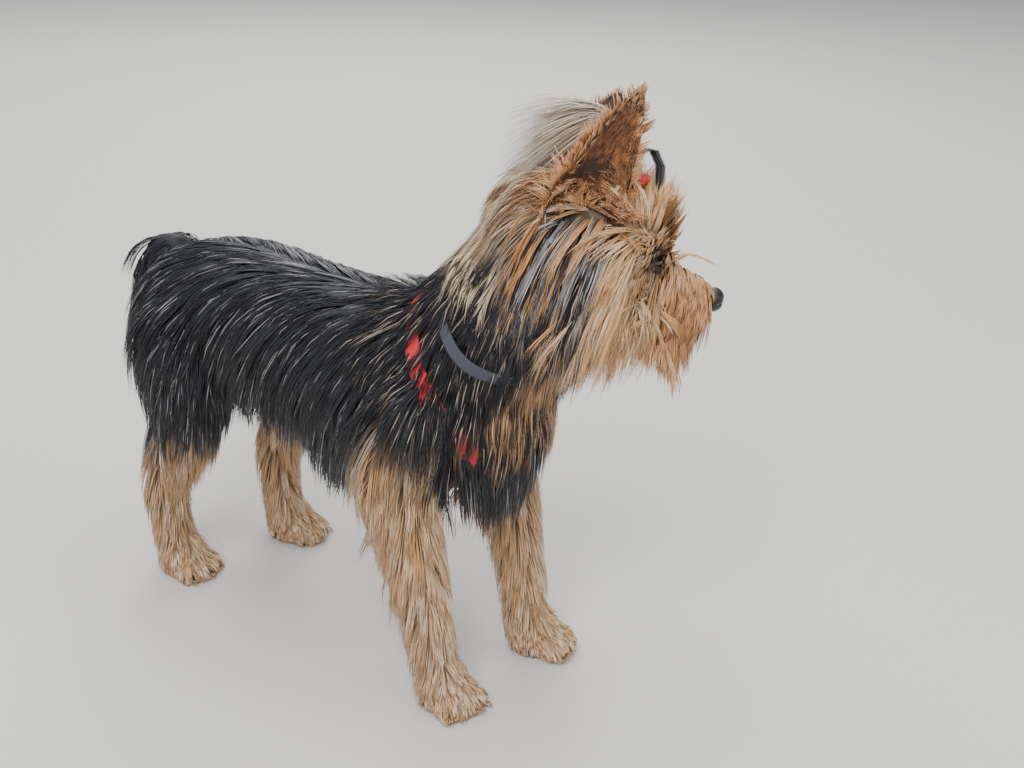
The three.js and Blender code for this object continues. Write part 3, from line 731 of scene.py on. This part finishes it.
def ear_coordinates(points, out, ear_side, on):
    """Where places on the ears lie across and up them, and whether they are inside the cup."""
    x, v, inner = np.zeros(len(points)), np.zeros(len(points)), np.zeros(len(points), bool)
    for s in (1, -1):
        finder = kdtree.KDTree(31 * 31)
        for i in range(31):
            for j in range(31):
                finder.insert(ear_point(s, i / 15 - 1, j / 30), i * 31 + j)
        finder.balance()
        facing = np.array(head_turn @ (ear_facing * Vector((1, s, 1))))
        for k in np.flatnonzero(on & (ear_side == s)):
            hit = finder.find(Vector(points[k]))[1]
            x[k], v[k] = (hit // 31) / 15 - 1, (hit % 31) / 30
            inner[k] = out[k] @ facing > 0
    return x, v, inner


lay = np.zeros((n, 3))
length = np.full(n, 40.0)
lift = np.full(n, 8.0)
wide = np.full(n, 0.42)
weight = np.full(n, 0.3)
clumping = np.full(n, 0.28)
stand = np.zeros(n)

on = names == "trunk"
lay[on] = np.column_stack(
    [
        table(steep[on], [(0, -1.1), (30, -0.85), (60, -0.6), (110, -0.45), (180, -0.7)]),
        side[on] * table(steep[on], [(0, 0.35), (30, 0.3), (80, 0.1), (180, 0)]),
        -table(steep[on], [(0, 0.6), (30, 0.9), (90, 1), (180, 0.4)]),
    ]
)
length[on] = table(steep[on], [(0, 42), (60, 50), (95, 50), (125, 34), (180, 20)])
rump = on & (x < -118)
length[rump] = table(steep[rump], [(0, 34), (70, 56), (110, 64), (180, 40)])
lay[on & (x < -112)] *= (0.45, 1, 1.4)
fringe = on & (x > 28) & (x < 70) & (steep > 95)
length[fringe] = 58
lift[on] = table(steep[on], [(0, 3.2), (60, 7), (120, 8), (180, 5)])
breast = on & (x > 104)
lay[breast] = (0.15, 0, -1)
length[breast] = 42

on = names == "neck"
lay[on] = np.column_stack(
    [
        table(steep[on], [(0, -1), (60, -0.6), (100, -0.4), (180, 0.05)]),
        side[on] * 0.1,
        -table(steep[on], [(0, 0.8), (60, 1), (180, 1)]),
    ]
)
length[on] = 46
lift[on] = 9.5
wide[on] = 0.36

for leg in leg_joints:
    on = names == leg
    rear = table(steep[on], [(0, 0), (60, 0), (180, 0)])
    # The angle is measured off the leg's front line.
    lay[on] = np.column_stack([-0.12 - 0.4 * (steep[on] > 100), side[on] * 0.08, -np.ones(on.sum())])
    length[on] = table(z[on], [(0, 8), (12, 10), (30, 24), (70, 30), (120, 36), (170, 40)])
    length[on & (steep > 110) & (z > 20)] *= 1.25
    lift[on] = table(z[on], [(0, 0.8), (20, 2.2), (50, 5), (120, 8)])
    foot_x, foot_y, foot_turn = leg_joints[leg][2]
    foot = on & (z < 22)
    ahead = np.column_stack([x[foot] - foot_x + 8, (y[foot] - foot_y) * 1.1, np.full(foot.sum(), -17.0)])
    lay[foot] = unit(ahead)
    wide[foot] = 0.42
    length[foot] = 9

on = names == "tail"
lay[on] = np.column_stack([np.full(on.sum(), 0.05), side[on] * 0.25, -np.ones(on.sum())])
length[on] = 34
lift[on] = 3

# The head's hair lies as these places say, each with a place off the midline in the head's
# frame, the way of its hair, its length, how far it stands off, how soon it drops, and how
# freely it stands up.
head_lay = (
    ((66, 3, -7), (-0.1, 0.9, 0.05), 5, 1.5, 0.2, 0.0),
    ((54, 4, -3), (-0.15, 0.9, 0.15), 13, 2.5, 0.35, 0.0),
    ((44, 4, 1), (0.0, 0.9, 0.35), 16, 4, 0.3, 0.3),
    ((36, 4, 6), (0.25, 0.5, 1.0), 17, 8, 0.1, 0.8),
    ((28, 12, 14), (0.35, 0.35, 1.0), 25, 14, 0.06, 0.9),
    ((31, 5, 13), (0.45, 0.15, 1.0), 27, 15, 0.04, 0.9),
    ((16, 5, 24), (-0.05, -0.3, 1.0), 18, 9, 0.0, 0.7),
    ((12, 16, 20), (0.1, -0.5, 0.9), 24, 7, 0.0, 0.3),
    ((0, 6, 28), (0.7, -0.3, 0.8), 20, 7, 0.0, 0.5),
    ((-16, 8, 27), (-1.0, 0.2, 0.1), 42, 11, 0.3, 0.0),
    ((-32, 6, 8), (-1.0, 0.2, -0.7), 46, 10, 0.35, 0.0),
    ((22, 22, 6), (-0.5, 0.4, -0.85), 40, 6, 0.4, 0.0),
    ((8, 26, 8), (-0.3, 0.3, -1.0), 46, 7, 0.4, 0.0),
    ((-14, 28, -2), (-0.4, 0.2, -1.0), 52, 8, 0.35, 0.0),
    ((8, 24, -14), (-0.12, 0.15, -1.0), 58, 9, 0.4, 0.0),
    ((27, 20, -10), (0.02, 0.3, -1.0), 60, 8, 0.4, 0.0),
    ((38, 14, -6), (-0.1, 0.5, -1.0), 45, 6.5, 0.4, 0.0),
    ((48, 12, -13), (-0.22, 0.5, -1.0), 35, 6, 0.45, 0.0),
    ((62, 9, -15), (-0.35, 0.6, -1.0), 29, 5, 0.5, 0.0),
    ((66, 4, -22), (-0.5, 0.3, -1.0), 18, 5, 0.5, 0.0),
    ((52, 3, -27), (-0.35, 0.1, -1.0), 24, 8, 0.5, 0.0),
    ((30, 5, -27), (-0.15, 0.1, -1.0), 34, 14, 0.5, 0.0),
    ((5, 8, -26), (-0.3, 0.1, -1.0), 44, 12, 0.5, 0.0),
)
on = names == "head"
spots = np.array([row[0] for row in head_lay], float)
off = np.stack([f[on], np.abs(l[on]), u[on]], 1)[:, None, :] - spots[None]
pull = np.exp(-(off**2).sum(2) / (2 * 7.5**2)) + 1e-9
pull /= pull.sum(1, keepdims=True)
blended = pull @ np.array([[*row[1], *row[2:]] for row in head_lay], float)
way = blended[:, :3] * np.column_stack([np.ones(on.sum()), side[on], np.ones(on.sum())])
lay[on] = way @ turn_rows.T
length[on], lift[on], weight[on], stand[on] = blended[:, 3:].T
wide[on] = 0.32
clumping[on] = 0.42
# Round the eyes the hair is short and lies away from the lids.
for s, eye in eyes.items():
    away = np.linalg.norm(points - np.array(eye), axis=1)
    short = on & (away < 11.5) & (side == s)
    length[short] *= 0.22
    lift[short] = 1.6
    lay[short] = unit(lay[short]) * 0.7 + unit(points[short] - np.array(eye))
    wide[short] = 0.26

# The ears: dark hair inside with a gold fringe on both edges, curls at the foot of the cup,
# and pale fuzz on the rear edge.
on = names == "ear"
ear_side = np.where(l > 0, 1, -1)
ear_x, ear_v, inner = ear_coordinates(points, out, ear_side, on)
for s in (1, -1):
    mine = on & (ear_side == s)
    rise = unit(np.array(in_head(ear_tip * Vector((1, s, 1))) - in_head(ear_foot * Vector((1, s, 1))))[None, :])
    aside = np.cross(rise, np.array(head_turn @ (ear_facing * Vector((1, s, 1))))[None, :])
    lay[mine] = rise + unit(aside) * (ear_x[mine] * 0.9 * (np.abs(ear_x[mine]) > 0.7))[:, None]
length[on] = np.where(inner[on], 10.0, 8.0) * (1 - 0.5 * ear_v[on] ** 2)
lift[on] = 2.0
weight[on] = 0.0
wide[on] = 0.26
edge = on & (np.abs(ear_x) > 0.8) & (ear_v < 0.85)
length[edge] = 9
curls = on & inner & (ear_v < 0.38)
length[curls] = 16
lift[curls] = 8
lay[curls] += rng.normal(0, 0.7, (curls.sum(), 3)) + np.array(head_turn @ Vector((-0.6, 0, -0.3)))
fuzz = on & ~inner & (ear_v < 0.6)
length[fuzz] = 15
lift[fuzz] = 4
lay[fuzz] += np.array(head_turn @ Vector((-0.9, 0, 0)))

lay = unit(lay) + rng.normal(0, 0.05, (n, 3))
length *= rng.uniform(0.8, 1.12, n)


def fall(over, root, out, lay, length, lift, weight, stand, steps=5):
    """The way of each guiding lock: off its root, bent down by its weight, and over the bodies."""
    here = to_dog(root) - out * 0.6
    lay = unit(lay)
    heading = unit(lay - (lay * out).sum(1, keepdims=True) * out) + out * 0.22
    heading = unit(unit(heading) * (1 - stand[:, None]) + lay * stand[:, None])
    path, ways = [here.copy()], [out.copy()]
    sway = rng.uniform(-0.1, 0.1, len(root))
    way = out.copy()
    for step in range(1, steps + 1):
        aside = np.cross(way, heading)
        heading = heading + np.array((0, 0, -1)) * (weight * step / steps)[:, None]
        heading = unit(heading + aside * (sway * (step - 2.5))[:, None])
        last = here
        here = last + heading * (length / steps)[:, None]
        rise = (0.6 + (lift - 0.6) * min(step / (steps - 1), 1)) * 0.85
        for body in over:
            for i in range(len(root)):
                spot, normal, face, gap = body.find_nearest(place(here[i]))
                height = (place(here[i]) - spot).dot(normal) * 1000
                facing = np.array(normal)
                if height < rise[i]:
                    here[i] = here[i] + facing * (rise[i] - height)
                if height < 14:
                    way[i] = way[i] * 0.4 + facing * 0.6
        way = unit(way)
        here[:, 2] = np.maximum(here[:, 2], 1.0)
        heading = unit(here - last)
        # A lock that leaves the body turns back to it, unless it hangs down from it.
        outwards = np.maximum((heading * way).sum(1), 0) * np.clip(1 + 1.3 * way[:, 2], 0, 1)
        heading = unit(heading - way * (0.6 * (1 - stand) * outwards)[:, None])
        path.append(here.copy())
        ways.append(way.copy())
    return np.array(path).transpose(1, 0, 2), np.array(ways).transpose(1, 0, 2)


chosen = rng.random(n) < np.where(names == "head", 0.13, 0.1)
guides = np.flatnonzero(chosen)
# The long hair of the muzzle and cheeks drapes over the hair under it, which this form stands for.
bm = bmesh.new()
under_beard = [((58, 0, -20), 10, 9), ((48, 0, -27), 14, 15), ((34, 0, -33), 16, 18), ((18, 0, -38), 15, 17), ((4, 0, -40), 9, 10)]
Limb([(tuple(in_head(at)), w, d) for at, w, d in under_beard], head_left).add_to(bm, 16, 12)
turn_outwards(bm)
beard = bvhtree.BVHTree.FromBMesh(bm)
bm.free()
paths = np.zeros((len(guides), 6, 3))
ways = np.zeros((len(guides), 6, 3))
for over, mine in (((tree,), names[guides] != "head"), ((tree, beard), names[guides] == "head")):
    g = guides[mine]
    paths[mine], ways[mine] = fall(over, root[g], out[g], lay[g], length[g], lift[g], weight[g], stand[g])
finder = kdtree.KDTree(len(guides))
for j, i in enumerate(guides):
    finder.insert(Vector(root[i] + out[i] * 0.006), j)
finder.balance()
owner = np.array([finder.find(Vector(root[i] + out[i] * 0.006))[1] for i in range(n)])
clump_chance = rng.random(len(guides))[owner]
single_chance = rng.random(n)
ear_dark = inner * between(-np.abs(ear_x), -0.86, -0.55) * between(-ear_v, -0.98, -0.7)
ear_dark *= 1 - 0.75 * ((ear_v < 0.36) & (single_chance > 0.55))
ear_dark = np.maximum(ear_dark, ~inner * 0.25 * between(ear_v, 0.3, 0.7))
colour = markings(points, names, t, angle, clump_chance, single_chance, ear_dark)

def ring_places(count):
    """Where a tuft's rings sit from root to tip, and how wide it is there."""
    at = np.linspace(0, 1, count + 1)[:-1] ** 0.95
    return at, np.sin(math.pi * (0.24 + 0.7 * at)) ** 0.8


def follow(paths, at):
    """Points along each path, where at may run a little past its end."""
    steps = paths.shape[1] - 1
    x = at * steps
    i = np.clip(x.astype(int), 0, steps - 1)
    rows = np.arange(len(paths))[:, None]
    a, b = paths[rows, i], paths[rows, i + 1]
    return a + (b - a) * (x - i)[:, :, None]


reach = rng.uniform(0.78, 1.1, n)
start = points - out * 0.6
wander = rng.normal(0, 1, n) * 0.022


def shape(mask, count):
    """The line of every tuft in the mask, drawn towards its guide, with the way out and aside."""
    at, _ = ring_places(count)
    at = np.outer(reach[mask], np.append(at, 1))
    mine = owner[mask]
    line = follow(paths[mine], at)
    outs = unit(follow(ways[mine], at))
    offset = start[mask] - paths[mine, 0]
    closing = 1 - clumping[mask][:, None] * np.clip(at, 0, 1) ** 0.8
    line = line + offset[:, None, :] * closing[:, :, None]
    heads = unit(np.gradient(line, axis=1))
    asides = unit(np.cross(outs, heads))
    line = line + asides * (wander[mask] * length[mask])[:, None, None] * (at**1.5)[:, :, None]
    line[:, :, 2] = np.maximum(line[:, :, 2], 0.8)
    return line, asides, outs


finish = Finish("silky_hair", Roughness=0.42)
base = finish.own("marking", 0)
along = finish.own("along", 2)
chance_here = finish.own("chance", 2)
tone = 0.62 + 0.5 * chance_here
# Each tuft runs darker towards its root and lighter towards its tip: painted shade at the roots under the hair above
# them, and the paler tips of the real coat.
tone = tone * (0.72 + 0.42 * along)
finish.put("Base Color", finish.tint(base, tone))


def make_tufts(name, line, asides, outs, wide, thick, colour, uv, chance):
    """One coat piece: a closed three-sided tapered sliver for each tuft."""
    m, count = len(line), line.shape[1] - 1
    rings, profile = ring_places(count)
    w = wide[:, None] * profile[None, :]
    ring, s, o = line[:, :count], asides[:, :count], outs[:, :count]
    corners = [ring - s * w[:, :, None], ring + s * w[:, :, None], ring + o * (w * thick)[:, :, None]]
    each = count * 3 + 1
    verts = np.concatenate([np.stack(corners, 2).reshape(m, count * 3, 3), line[:, count:]], 1)
    verts = verts / 1000 - np.array(origin)
    tri = [(0, 2, 1)]
    for r in range(count - 1):
        for q in range(3):
            a, b = r * 3 + q, r * 3 + (q + 1) % 3
            tri += [(a, b, b + 3), (a, b + 3, a + 3)]
    for q in range(3):
        tri.append((count * 3 - 3 + q, count * 3 - 3 + (q + 1) % 3, count * 3))
    tri = np.array(tri)
    index = (tri[None] + np.arange(m)[:, None, None] * each).reshape(-1)
    mesh = bpy.data.meshes.new(name)
    mesh.vertices.add(m * each)
    mesh.vertices.foreach_set("co", verts.astype(np.float32).ravel())
    mesh.loops.add(len(index))
    mesh.loops.foreach_set("vertex_index", index.astype(np.int32))
    mesh.polygons.add(len(index) // 3)
    mesh.polygons.foreach_set("loop_start", np.arange(0, len(index), 3, dtype=np.int32))
    mesh.polygons.foreach_set("use_smooth", np.ones(len(index) // 3, bool))
    patch = 0.003
    local = [[q / 2 - 0.5, r / count - 0.5] for r in range(count) for q in range(3)] + [[0, 0.5]]
    vert_uv = uv[:, None, :] + np.array(local)[None] * patch
    layer = mesh.uv_layers.new(name="OFBake")
    layer.data.foreach_set("uv", vert_uv.reshape(-1, 2)[index].astype(np.float32).ravel())
    rows = np.repeat(np.column_stack([colour, np.ones(m)]), each, axis=0)
    mesh.attributes.new("marking", "FLOAT_COLOR", "POINT").data.foreach_set("color", rows.astype(np.float32).ravel())
    along = np.tile(np.append(np.repeat(rings, 3), 1.0), m)
    mesh.attributes.new("along", "FLOAT", "POINT").data.foreach_set("value", along.astype(np.float32))
    rows = np.repeat(chance, each)
    mesh.attributes.new("chance", "FLOAT", "POINT").data.foreach_set("value", rows.astype(np.float32))
    mesh.update(calc_edges=True)
    mesh.materials.append(finish.material)
    piece = bpy.data.objects.new(name, mesh)
    bpy.context.scene.collection.objects.link(piece)
    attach(piece, "root")
    print(name, m, "tufts", len(index) // 3, "faces")
    return piece


regions = {
    "coat_back": (names == "trunk") & (steep <= 58),
    "coat_flank_right": (names == "trunk") & (steep > 58) & (y < 0),
    "coat_flank_left": (names == "trunk") & (steep > 58) & (y >= 0),
    "coat_neck": names == "neck",
    "coat_face_right": (names == "head") & (l < 0) & (f > 20),
    "coat_face_left": (names == "head") & (l >= 0) & (f > 20),
    "coat_cheek_right": (names == "head") & (f <= 20) & (l < 0),
    "coat_cheek_left": (names == "head") & (f <= 20) & (l >= 0),
    "coat_ears": names == "ear",
    "coat_tail": names == "tail",
}
for leg in leg_joints:
    regions[f"coat_{leg}"] = names == leg
slots = {
    "coat_neck": "cream_coat",
    "coat_face_right": "gold_coat",
    "coat_face_left": "gold_coat",
    "coat_cheek_right": "gold_coat",
    "coat_cheek_left": "gold_coat",
    "coat_ears": "ear_coat",
}
for name, mask in regions.items():
    count = 2 if name == "coat_ears" else 3 if "leg" in name else 4
    line, asides, outs = shape(mask, count)
    piece = make_tufts(
        name, line, asides, outs, wide[mask], 0.55, colour[mask], root_uv[mask], single_chance[mask]
    )
    slots.get(name, "tan_coat" if "leg" in name else "steel_coat")

# ---------------------------------------------------------------- the gathered hair
# The crown's long hair is drawn up through an elastic tie and arches back over the skull in
# a loose tail, with one dark loop that falls forwards.
strands = 1500
arch = rng.uniform(-1, 1, strands)
drop = rng.uniform(0, 1, strands)
loose = rng.normal(0, 1, (strands, 3))
knots = np.zeros((strands, 6, 3))
stem = rng.normal(0, 1, (strands, 2)) * 2.2
knots[:, 0] = np.column_stack([19 + stem[:, 0], stem[:, 1], np.full(strands, 24)])
knots[:, 1] = np.column_stack([14 + stem[:, 0], stem[:, 1], np.full(strands, 35)])
knots[:, 2] = np.column_stack([7 + stem[:, 0] * 1.2, stem[:, 1] * 1.5 + arch, 47 + drop])
knots[:, 3] = np.column_stack([-8 + loose[:, 0] * 2, arch * 6 + loose[:, 1] * 1.5, 64 - 6 * drop])
knots[:, 4] = np.column_stack([-27 + loose[:, 0] * 3, arch * 12 + loose[:, 1] * 2, 66 - 26 * drop])
knots[:, 5] = np.column_stack([-48 + loose[:, 0] * 4, arch * 17 + loose[:, 1] * 3, 56 - 46 * drop])
dark = np.arange(strands) < 150
knots[dark, 2] = np.column_stack([12 + stem[dark, 0] * 0.5, stem[dark, 1] * 0.5, np.full(dark.sum(), 44)])
knots[dark, 3] = np.column_stack([19 + stem[dark, 0] * 0.5, stem[dark, 1] * 0.5, np.full(dark.sum(), 52)])
knots[dark, 4] = np.column_stack([27 + stem[dark, 0] * 0.5, -1 + stem[dark, 1] * 0.5, np.full(dark.sum(), 42)])
knots[dark, 5] = np.column_stack([28 + stem[dark, 0] * 0.5, -2 + stem[dark, 1] * 0.5, np.full(dark.sum(), 25)])
knots = knots @ turn_rows.T + np.array(head_place)
reach = rng.uniform(0.8, 1.02, strands)
reach[dark] = 1
places, _ = ring_places(8)
curve = np.array([smooth_through(knots[i], np.append(places, 1) * reach[i]) for i in range(strands)])
heads = unit(np.gradient(curve, axis=1))
outs = np.tile(np.array(head_turn @ Vector((0.3, 0, 1))), (strands, 9, 1))
outs = unit(outs - (outs * heads).sum(2, keepdims=True) * heads)
asides = unit(np.cross(outs, heads))
tone = rng.random(strands)
colour = mix(np.tile(linear((244, 236, 226)), (strands, 1)), cream, tone * 1.2)
colour = mix(colour, umber, (tone > 0.7) * 0.55)
colour[dark] = mix(np.tile(soot * 1.5, (dark.sum(), 1)), silver, (tone[dark] > 0.7) * 0.8)
uv_spot = np.tile(root_uv[np.argmin(np.linalg.norm(points - np.array(in_head((19, 0, 24))), axis=1))], (strands, 1))
piece = make_tufts("coat_topknot", curve, asides, outs, np.full(strands, 0.36), 0.6, colour, uv_spot, tone)
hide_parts("topknot")

# ---------------------------------------------------------------- eyes
# Dark brown eyes, a wet ball in each orbit with the pupil hardly darker than its iris.
eye_finish = Finish("eye", Roughness=0.12, Coat_Weight=0.35, Coat_Roughness=0.02)
for side, label in ((1, "left"), (-1, "right")):
    bm = bmesh.new()
    bmesh.ops.create_uvsphere(bm, u_segments=40, v_segments=28, radius=1)
    facing = eye_ways[side]
    aside = (head_turn @ Vector((0, 0, 1))).cross(facing).normalized()
    upward = facing.cross(aside)
    for v in bm.verts:
        x, y, z = v.co
        bulge = 1 + 0.05 * max(z - 0.5, 0) ** 2 / 0.25
        v.co = place(eyes[side] + (aside * x + upward * y + facing * z) * (eye_radius * bulge))
    mesh = bpy.data.meshes.new(f"eyeball_{label}")
    for face in bm.faces:
        face.smooth = True
    bm.to_mesh(mesh)
    bm.free()
    ring = mesh.attributes.new("ring", "FLOAT", "POINT")
    co = to_dog(numbers(mesh.vertices, "co", 3)) - np.array(eyes[side])
    ring.data.foreach_set("value", (unit(co) @ np.array(facing)).astype(np.float32))
    mesh.materials.append(eye_finish.material)
    ball = bpy.data.objects.new(f"eyeball_{label}", mesh)
    bpy.context.scene.collection.objects.link(ball)
    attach(ball, "root")
    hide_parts(f"eye_{label}")
facing_share = eye_finish.own("ring", 2)
iris = eye_finish.node(
    "ShaderNodeMapRange", {"interpolation_type": "SMOOTHSTEP"}, {0: facing_share, 1: 0.9, 2: 0.93}
)
eye_finish.put("Base Color", eye_finish.blend((0.022, 0.009, 0.004, 1), (0.002, 0.002, 0.002, 1), iris))

# ---------------------------------------------------------------- nose leather
# The bare black nose: a broad rounded pad with comma nostrils and a groove down its front.
nose_at, nose_half = Vector((70.5, 0, -13)), Vector((5.4, 7.2, 6.2))
bm = bmesh.new()
bmesh.ops.create_uvsphere(bm, u_segments=64, v_segments=48, radius=1)
for v in bm.verts:
    x, y, z = v.co
    wide_here = 1 - 0.22 * max(-z, 0)
    point = Vector((x * nose_half.x, y * nose_half.y * wide_here, z * nose_half.z))
    if x > 0:
        for s in (1, -1):
            hole = math.hypot((y - 0.46 * s) / 0.27, (z - 0.0) / 0.33)
            slit = math.hypot((y - 0.74 * s) / 0.3, (z + 0.22) / 0.14)
            point.x -= 3.0 * math.exp(-(hole**3)) + 1.4 * math.exp(-(slit**2))
        point.x -= 0.9 * math.exp(-((y / 0.07) ** 2)) * (z < 0.35)
    v.co = place(in_head(nose_at + point))
mesh = bpy.data.meshes.new("nose_pad")
for face in bm.faces:
    face.smooth = True
bm.to_mesh(mesh)
bm.free()
nose = bpy.data.objects.new("nose_pad", mesh)
bpy.context.scene.collection.objects.link(nose)
leather = Finish("nose_leather", Roughness=0.34, Base_Color=(0.006, 0.006, 0.007, 1))
cells = leather.node("ShaderNodeTexCoord", out=3)
cells = leather.node("ShaderNodeTexVoronoi", {"feature": "DISTANCE_TO_EDGE"}, {"Vector": cells, "Scale": 1300.0})
leather.put("Normal", leather.node("ShaderNodeBump", {}, {"Strength": 0.7, "Distance": 0.0003, "Height": cells}))
mesh.materials.append(leather.material)
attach(nose, "root")
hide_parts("nose")

# ---------------------------------------------------------------- claws
# Four short dark claws a foot, each a curved horn cone that comes out between the toe's hairs.
bm = bmesh.new()
for tip, turned in claw_places:
    made = bmesh.ops.create_cone(bm, segments=12, radius1=1.2, radius2=0.2, depth=8, cap_ends=True)
    for v in made["verts"]:
        x, y, z = v.co
        s = (z + 4) / 8
        v.co = place(tip + turned @ Vector((s * 5 - 3, y * 0.8, x - 2.6 * s * s)))
        v.co.z = max(v.co.z, 0.0004)
bmesh.ops.recalc_face_normals(bm, faces=bm.faces[:])
mesh = bpy.data.meshes.new("claws")
bm.to_mesh(mesh)
bm.free()
claws = bpy.data.objects.new("claws", mesh)
bpy.context.scene.collection.objects.link(claws)
horn = Finish("horn", Roughness=0.4)
where = horn.node("ShaderNodeTexCoord", out=3)
streak = horn.node("ShaderNodeTexNoise", {}, {"Vector": where, "Scale": 500.0})
horn.put("Base Color", horn.blend((0.012, 0.01, 0.009, 1), (0.06, 0.045, 0.035, 1), streak))
mesh.materials.append(horn.material)
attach(claws, "root")

# ---------------------------------------------------------------- chest band, neck strap and hair tie
# A red woven chest band and a grey neck strap, both hidden under the coat for most of their
# length, and a red cloth-covered elastic round the gathered hair.
def add_band(name, through, square, wide, thick, core, loose, slip, rise, material, node):
    """A woven band round the body, which slips down and rises over the coat where it is loose."""
    square = Vector(square).normalized()
    aside = square.cross(Vector((0, 0, 1))).normalized()
    upward = aside.cross(square)
    centre = Vector(through)
    around, rows = 120, 6
    bm = bmesh.new()
    made = bmesh.ops.create_grid(bm, x_segments=around, y_segments=rows, size=1)
    for v in made["verts"]:
        angle = (v.co.x + 1) * math.pi
        across = v.co.y * wide / 2
        ray = aside * math.cos(angle) + upward * math.sin(angle)
        off_loose = (math.degrees(angle) - loose + 180) % 360 - 180
        slack = math.exp(-((off_loose / 36) ** 2))
        start = centre + square * (across - slip * slack)
        far = place(start + ray * 90)
        hit = tree.ray_cast(far, -ray)
        reach = (hit[0] - place(start)).dot(ray) * 1000 if hit[0] else 30
        v.co = place(start + ray * (reach + core + rise * slack))
    bmesh.ops.remove_doubles(bm, verts=bm.verts, dist=1e-5)
    bmesh.ops.smooth_vert(bm, verts=bm.verts, factor=0.5, use_axis_x=True, use_axis_y=True, use_axis_z=True)
    bmesh.ops.recalc_face_normals(bm, faces=bm.faces[:])
    bmesh.ops.solidify(bm, geom=bm.faces[:] + bm.edges[:] + bm.verts[:], thickness=thick / 1000)
    turn_outwards(bm)
    mesh = bpy.data.meshes.new(name)
    for face in bm.faces:
        face.smooth = True
    bm.to_mesh(mesh)
    bm.free()
    mesh.materials.append(material)
    band = bpy.data.objects.new(name, mesh)
    bpy.context.scene.collection.objects.link(band)
    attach(band, "root")
    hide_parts(node)
    return band


def webbing(name, colour, lighter):
    """Plain-woven synthetic webbing."""
    finish = Finish(name, Roughness=0.75)
    where = finish.node("ShaderNodeTexCoord", out=3)
    threads = finish.node("ShaderNodeTexWave", {"bands_direction": "DIAGONAL"}, {"Vector": where, "Scale": 420.0, "Distortion": 0.6})
    finish.put("Base Color", finish.blend(colour, lighter, threads))
    finish.put("Normal", finish.node("ShaderNodeBump", {}, {"Strength": 0.6, "Distance": 0.0003, "Height": threads}))
    return finish.material


add_band("chest_band", (98, 0, 172), (0.84, 0, 0.54), 10, 1.6, 6.0, 5, 0, 2.5, webbing("red_web", (0.5, 0.012, 0.02, 1), (0.7, 0.03, 0.04, 1)), "harness")
add_band("neck_strap", (108, 5, 205), (0.6, 0.12, 0.79), 6.5, 1.5, 5.0, 355, 7, 5, webbing("grey_web", (0.032, 0.036, 0.052, 1), (0.07, 0.076, 0.1, 1)), "collar")

bm = bmesh.new()
made = bmesh.ops.create_circle(bm, segments=14, radius=2.4)
bmesh.ops.translate(bm, verts=made["verts"], vec=(7, 0, 0))
bmesh.ops.rotate(bm, verts=made["verts"], cent=(7, 0, 0), matrix=Matrix.Rotation(math.pi / 2, 3, "X"))
bmesh.ops.spin(bm, geom=bm.verts[:] + bm.edges[:], cent=(0, 0, 0), axis=(0, 0, 1), angle=math.tau, steps=48, use_merge=True)
bmesh.ops.recalc_face_normals(bm, faces=bm.faces[:])
lean = Matrix.Rotation(math.radians(-25), 3, "Y")
for v in bm.verts:
    angle = math.atan2(v.co.y, v.co.x)
    pucker = 1 + 0.05 * math.sin(angle * 17)
    v.co = place(in_head(Vector((14, 0, 34)) + lean @ (v.co * pucker)))
mesh = bpy.data.meshes.new("hair_elastic")
for face in bm.faces:
    face.smooth = True
bm.to_mesh(mesh)
bm.free()
mesh.materials.append(webbing("tie_cloth", (0.5, 0.01, 0.03, 1), (0.75, 0.04, 0.07, 1)))
tie = bpy.data.objects.new("hair_elastic", mesh)
bpy.context.scene.collection.objects.link(tie)
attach(tie, "root")
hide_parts("topknot_tie")
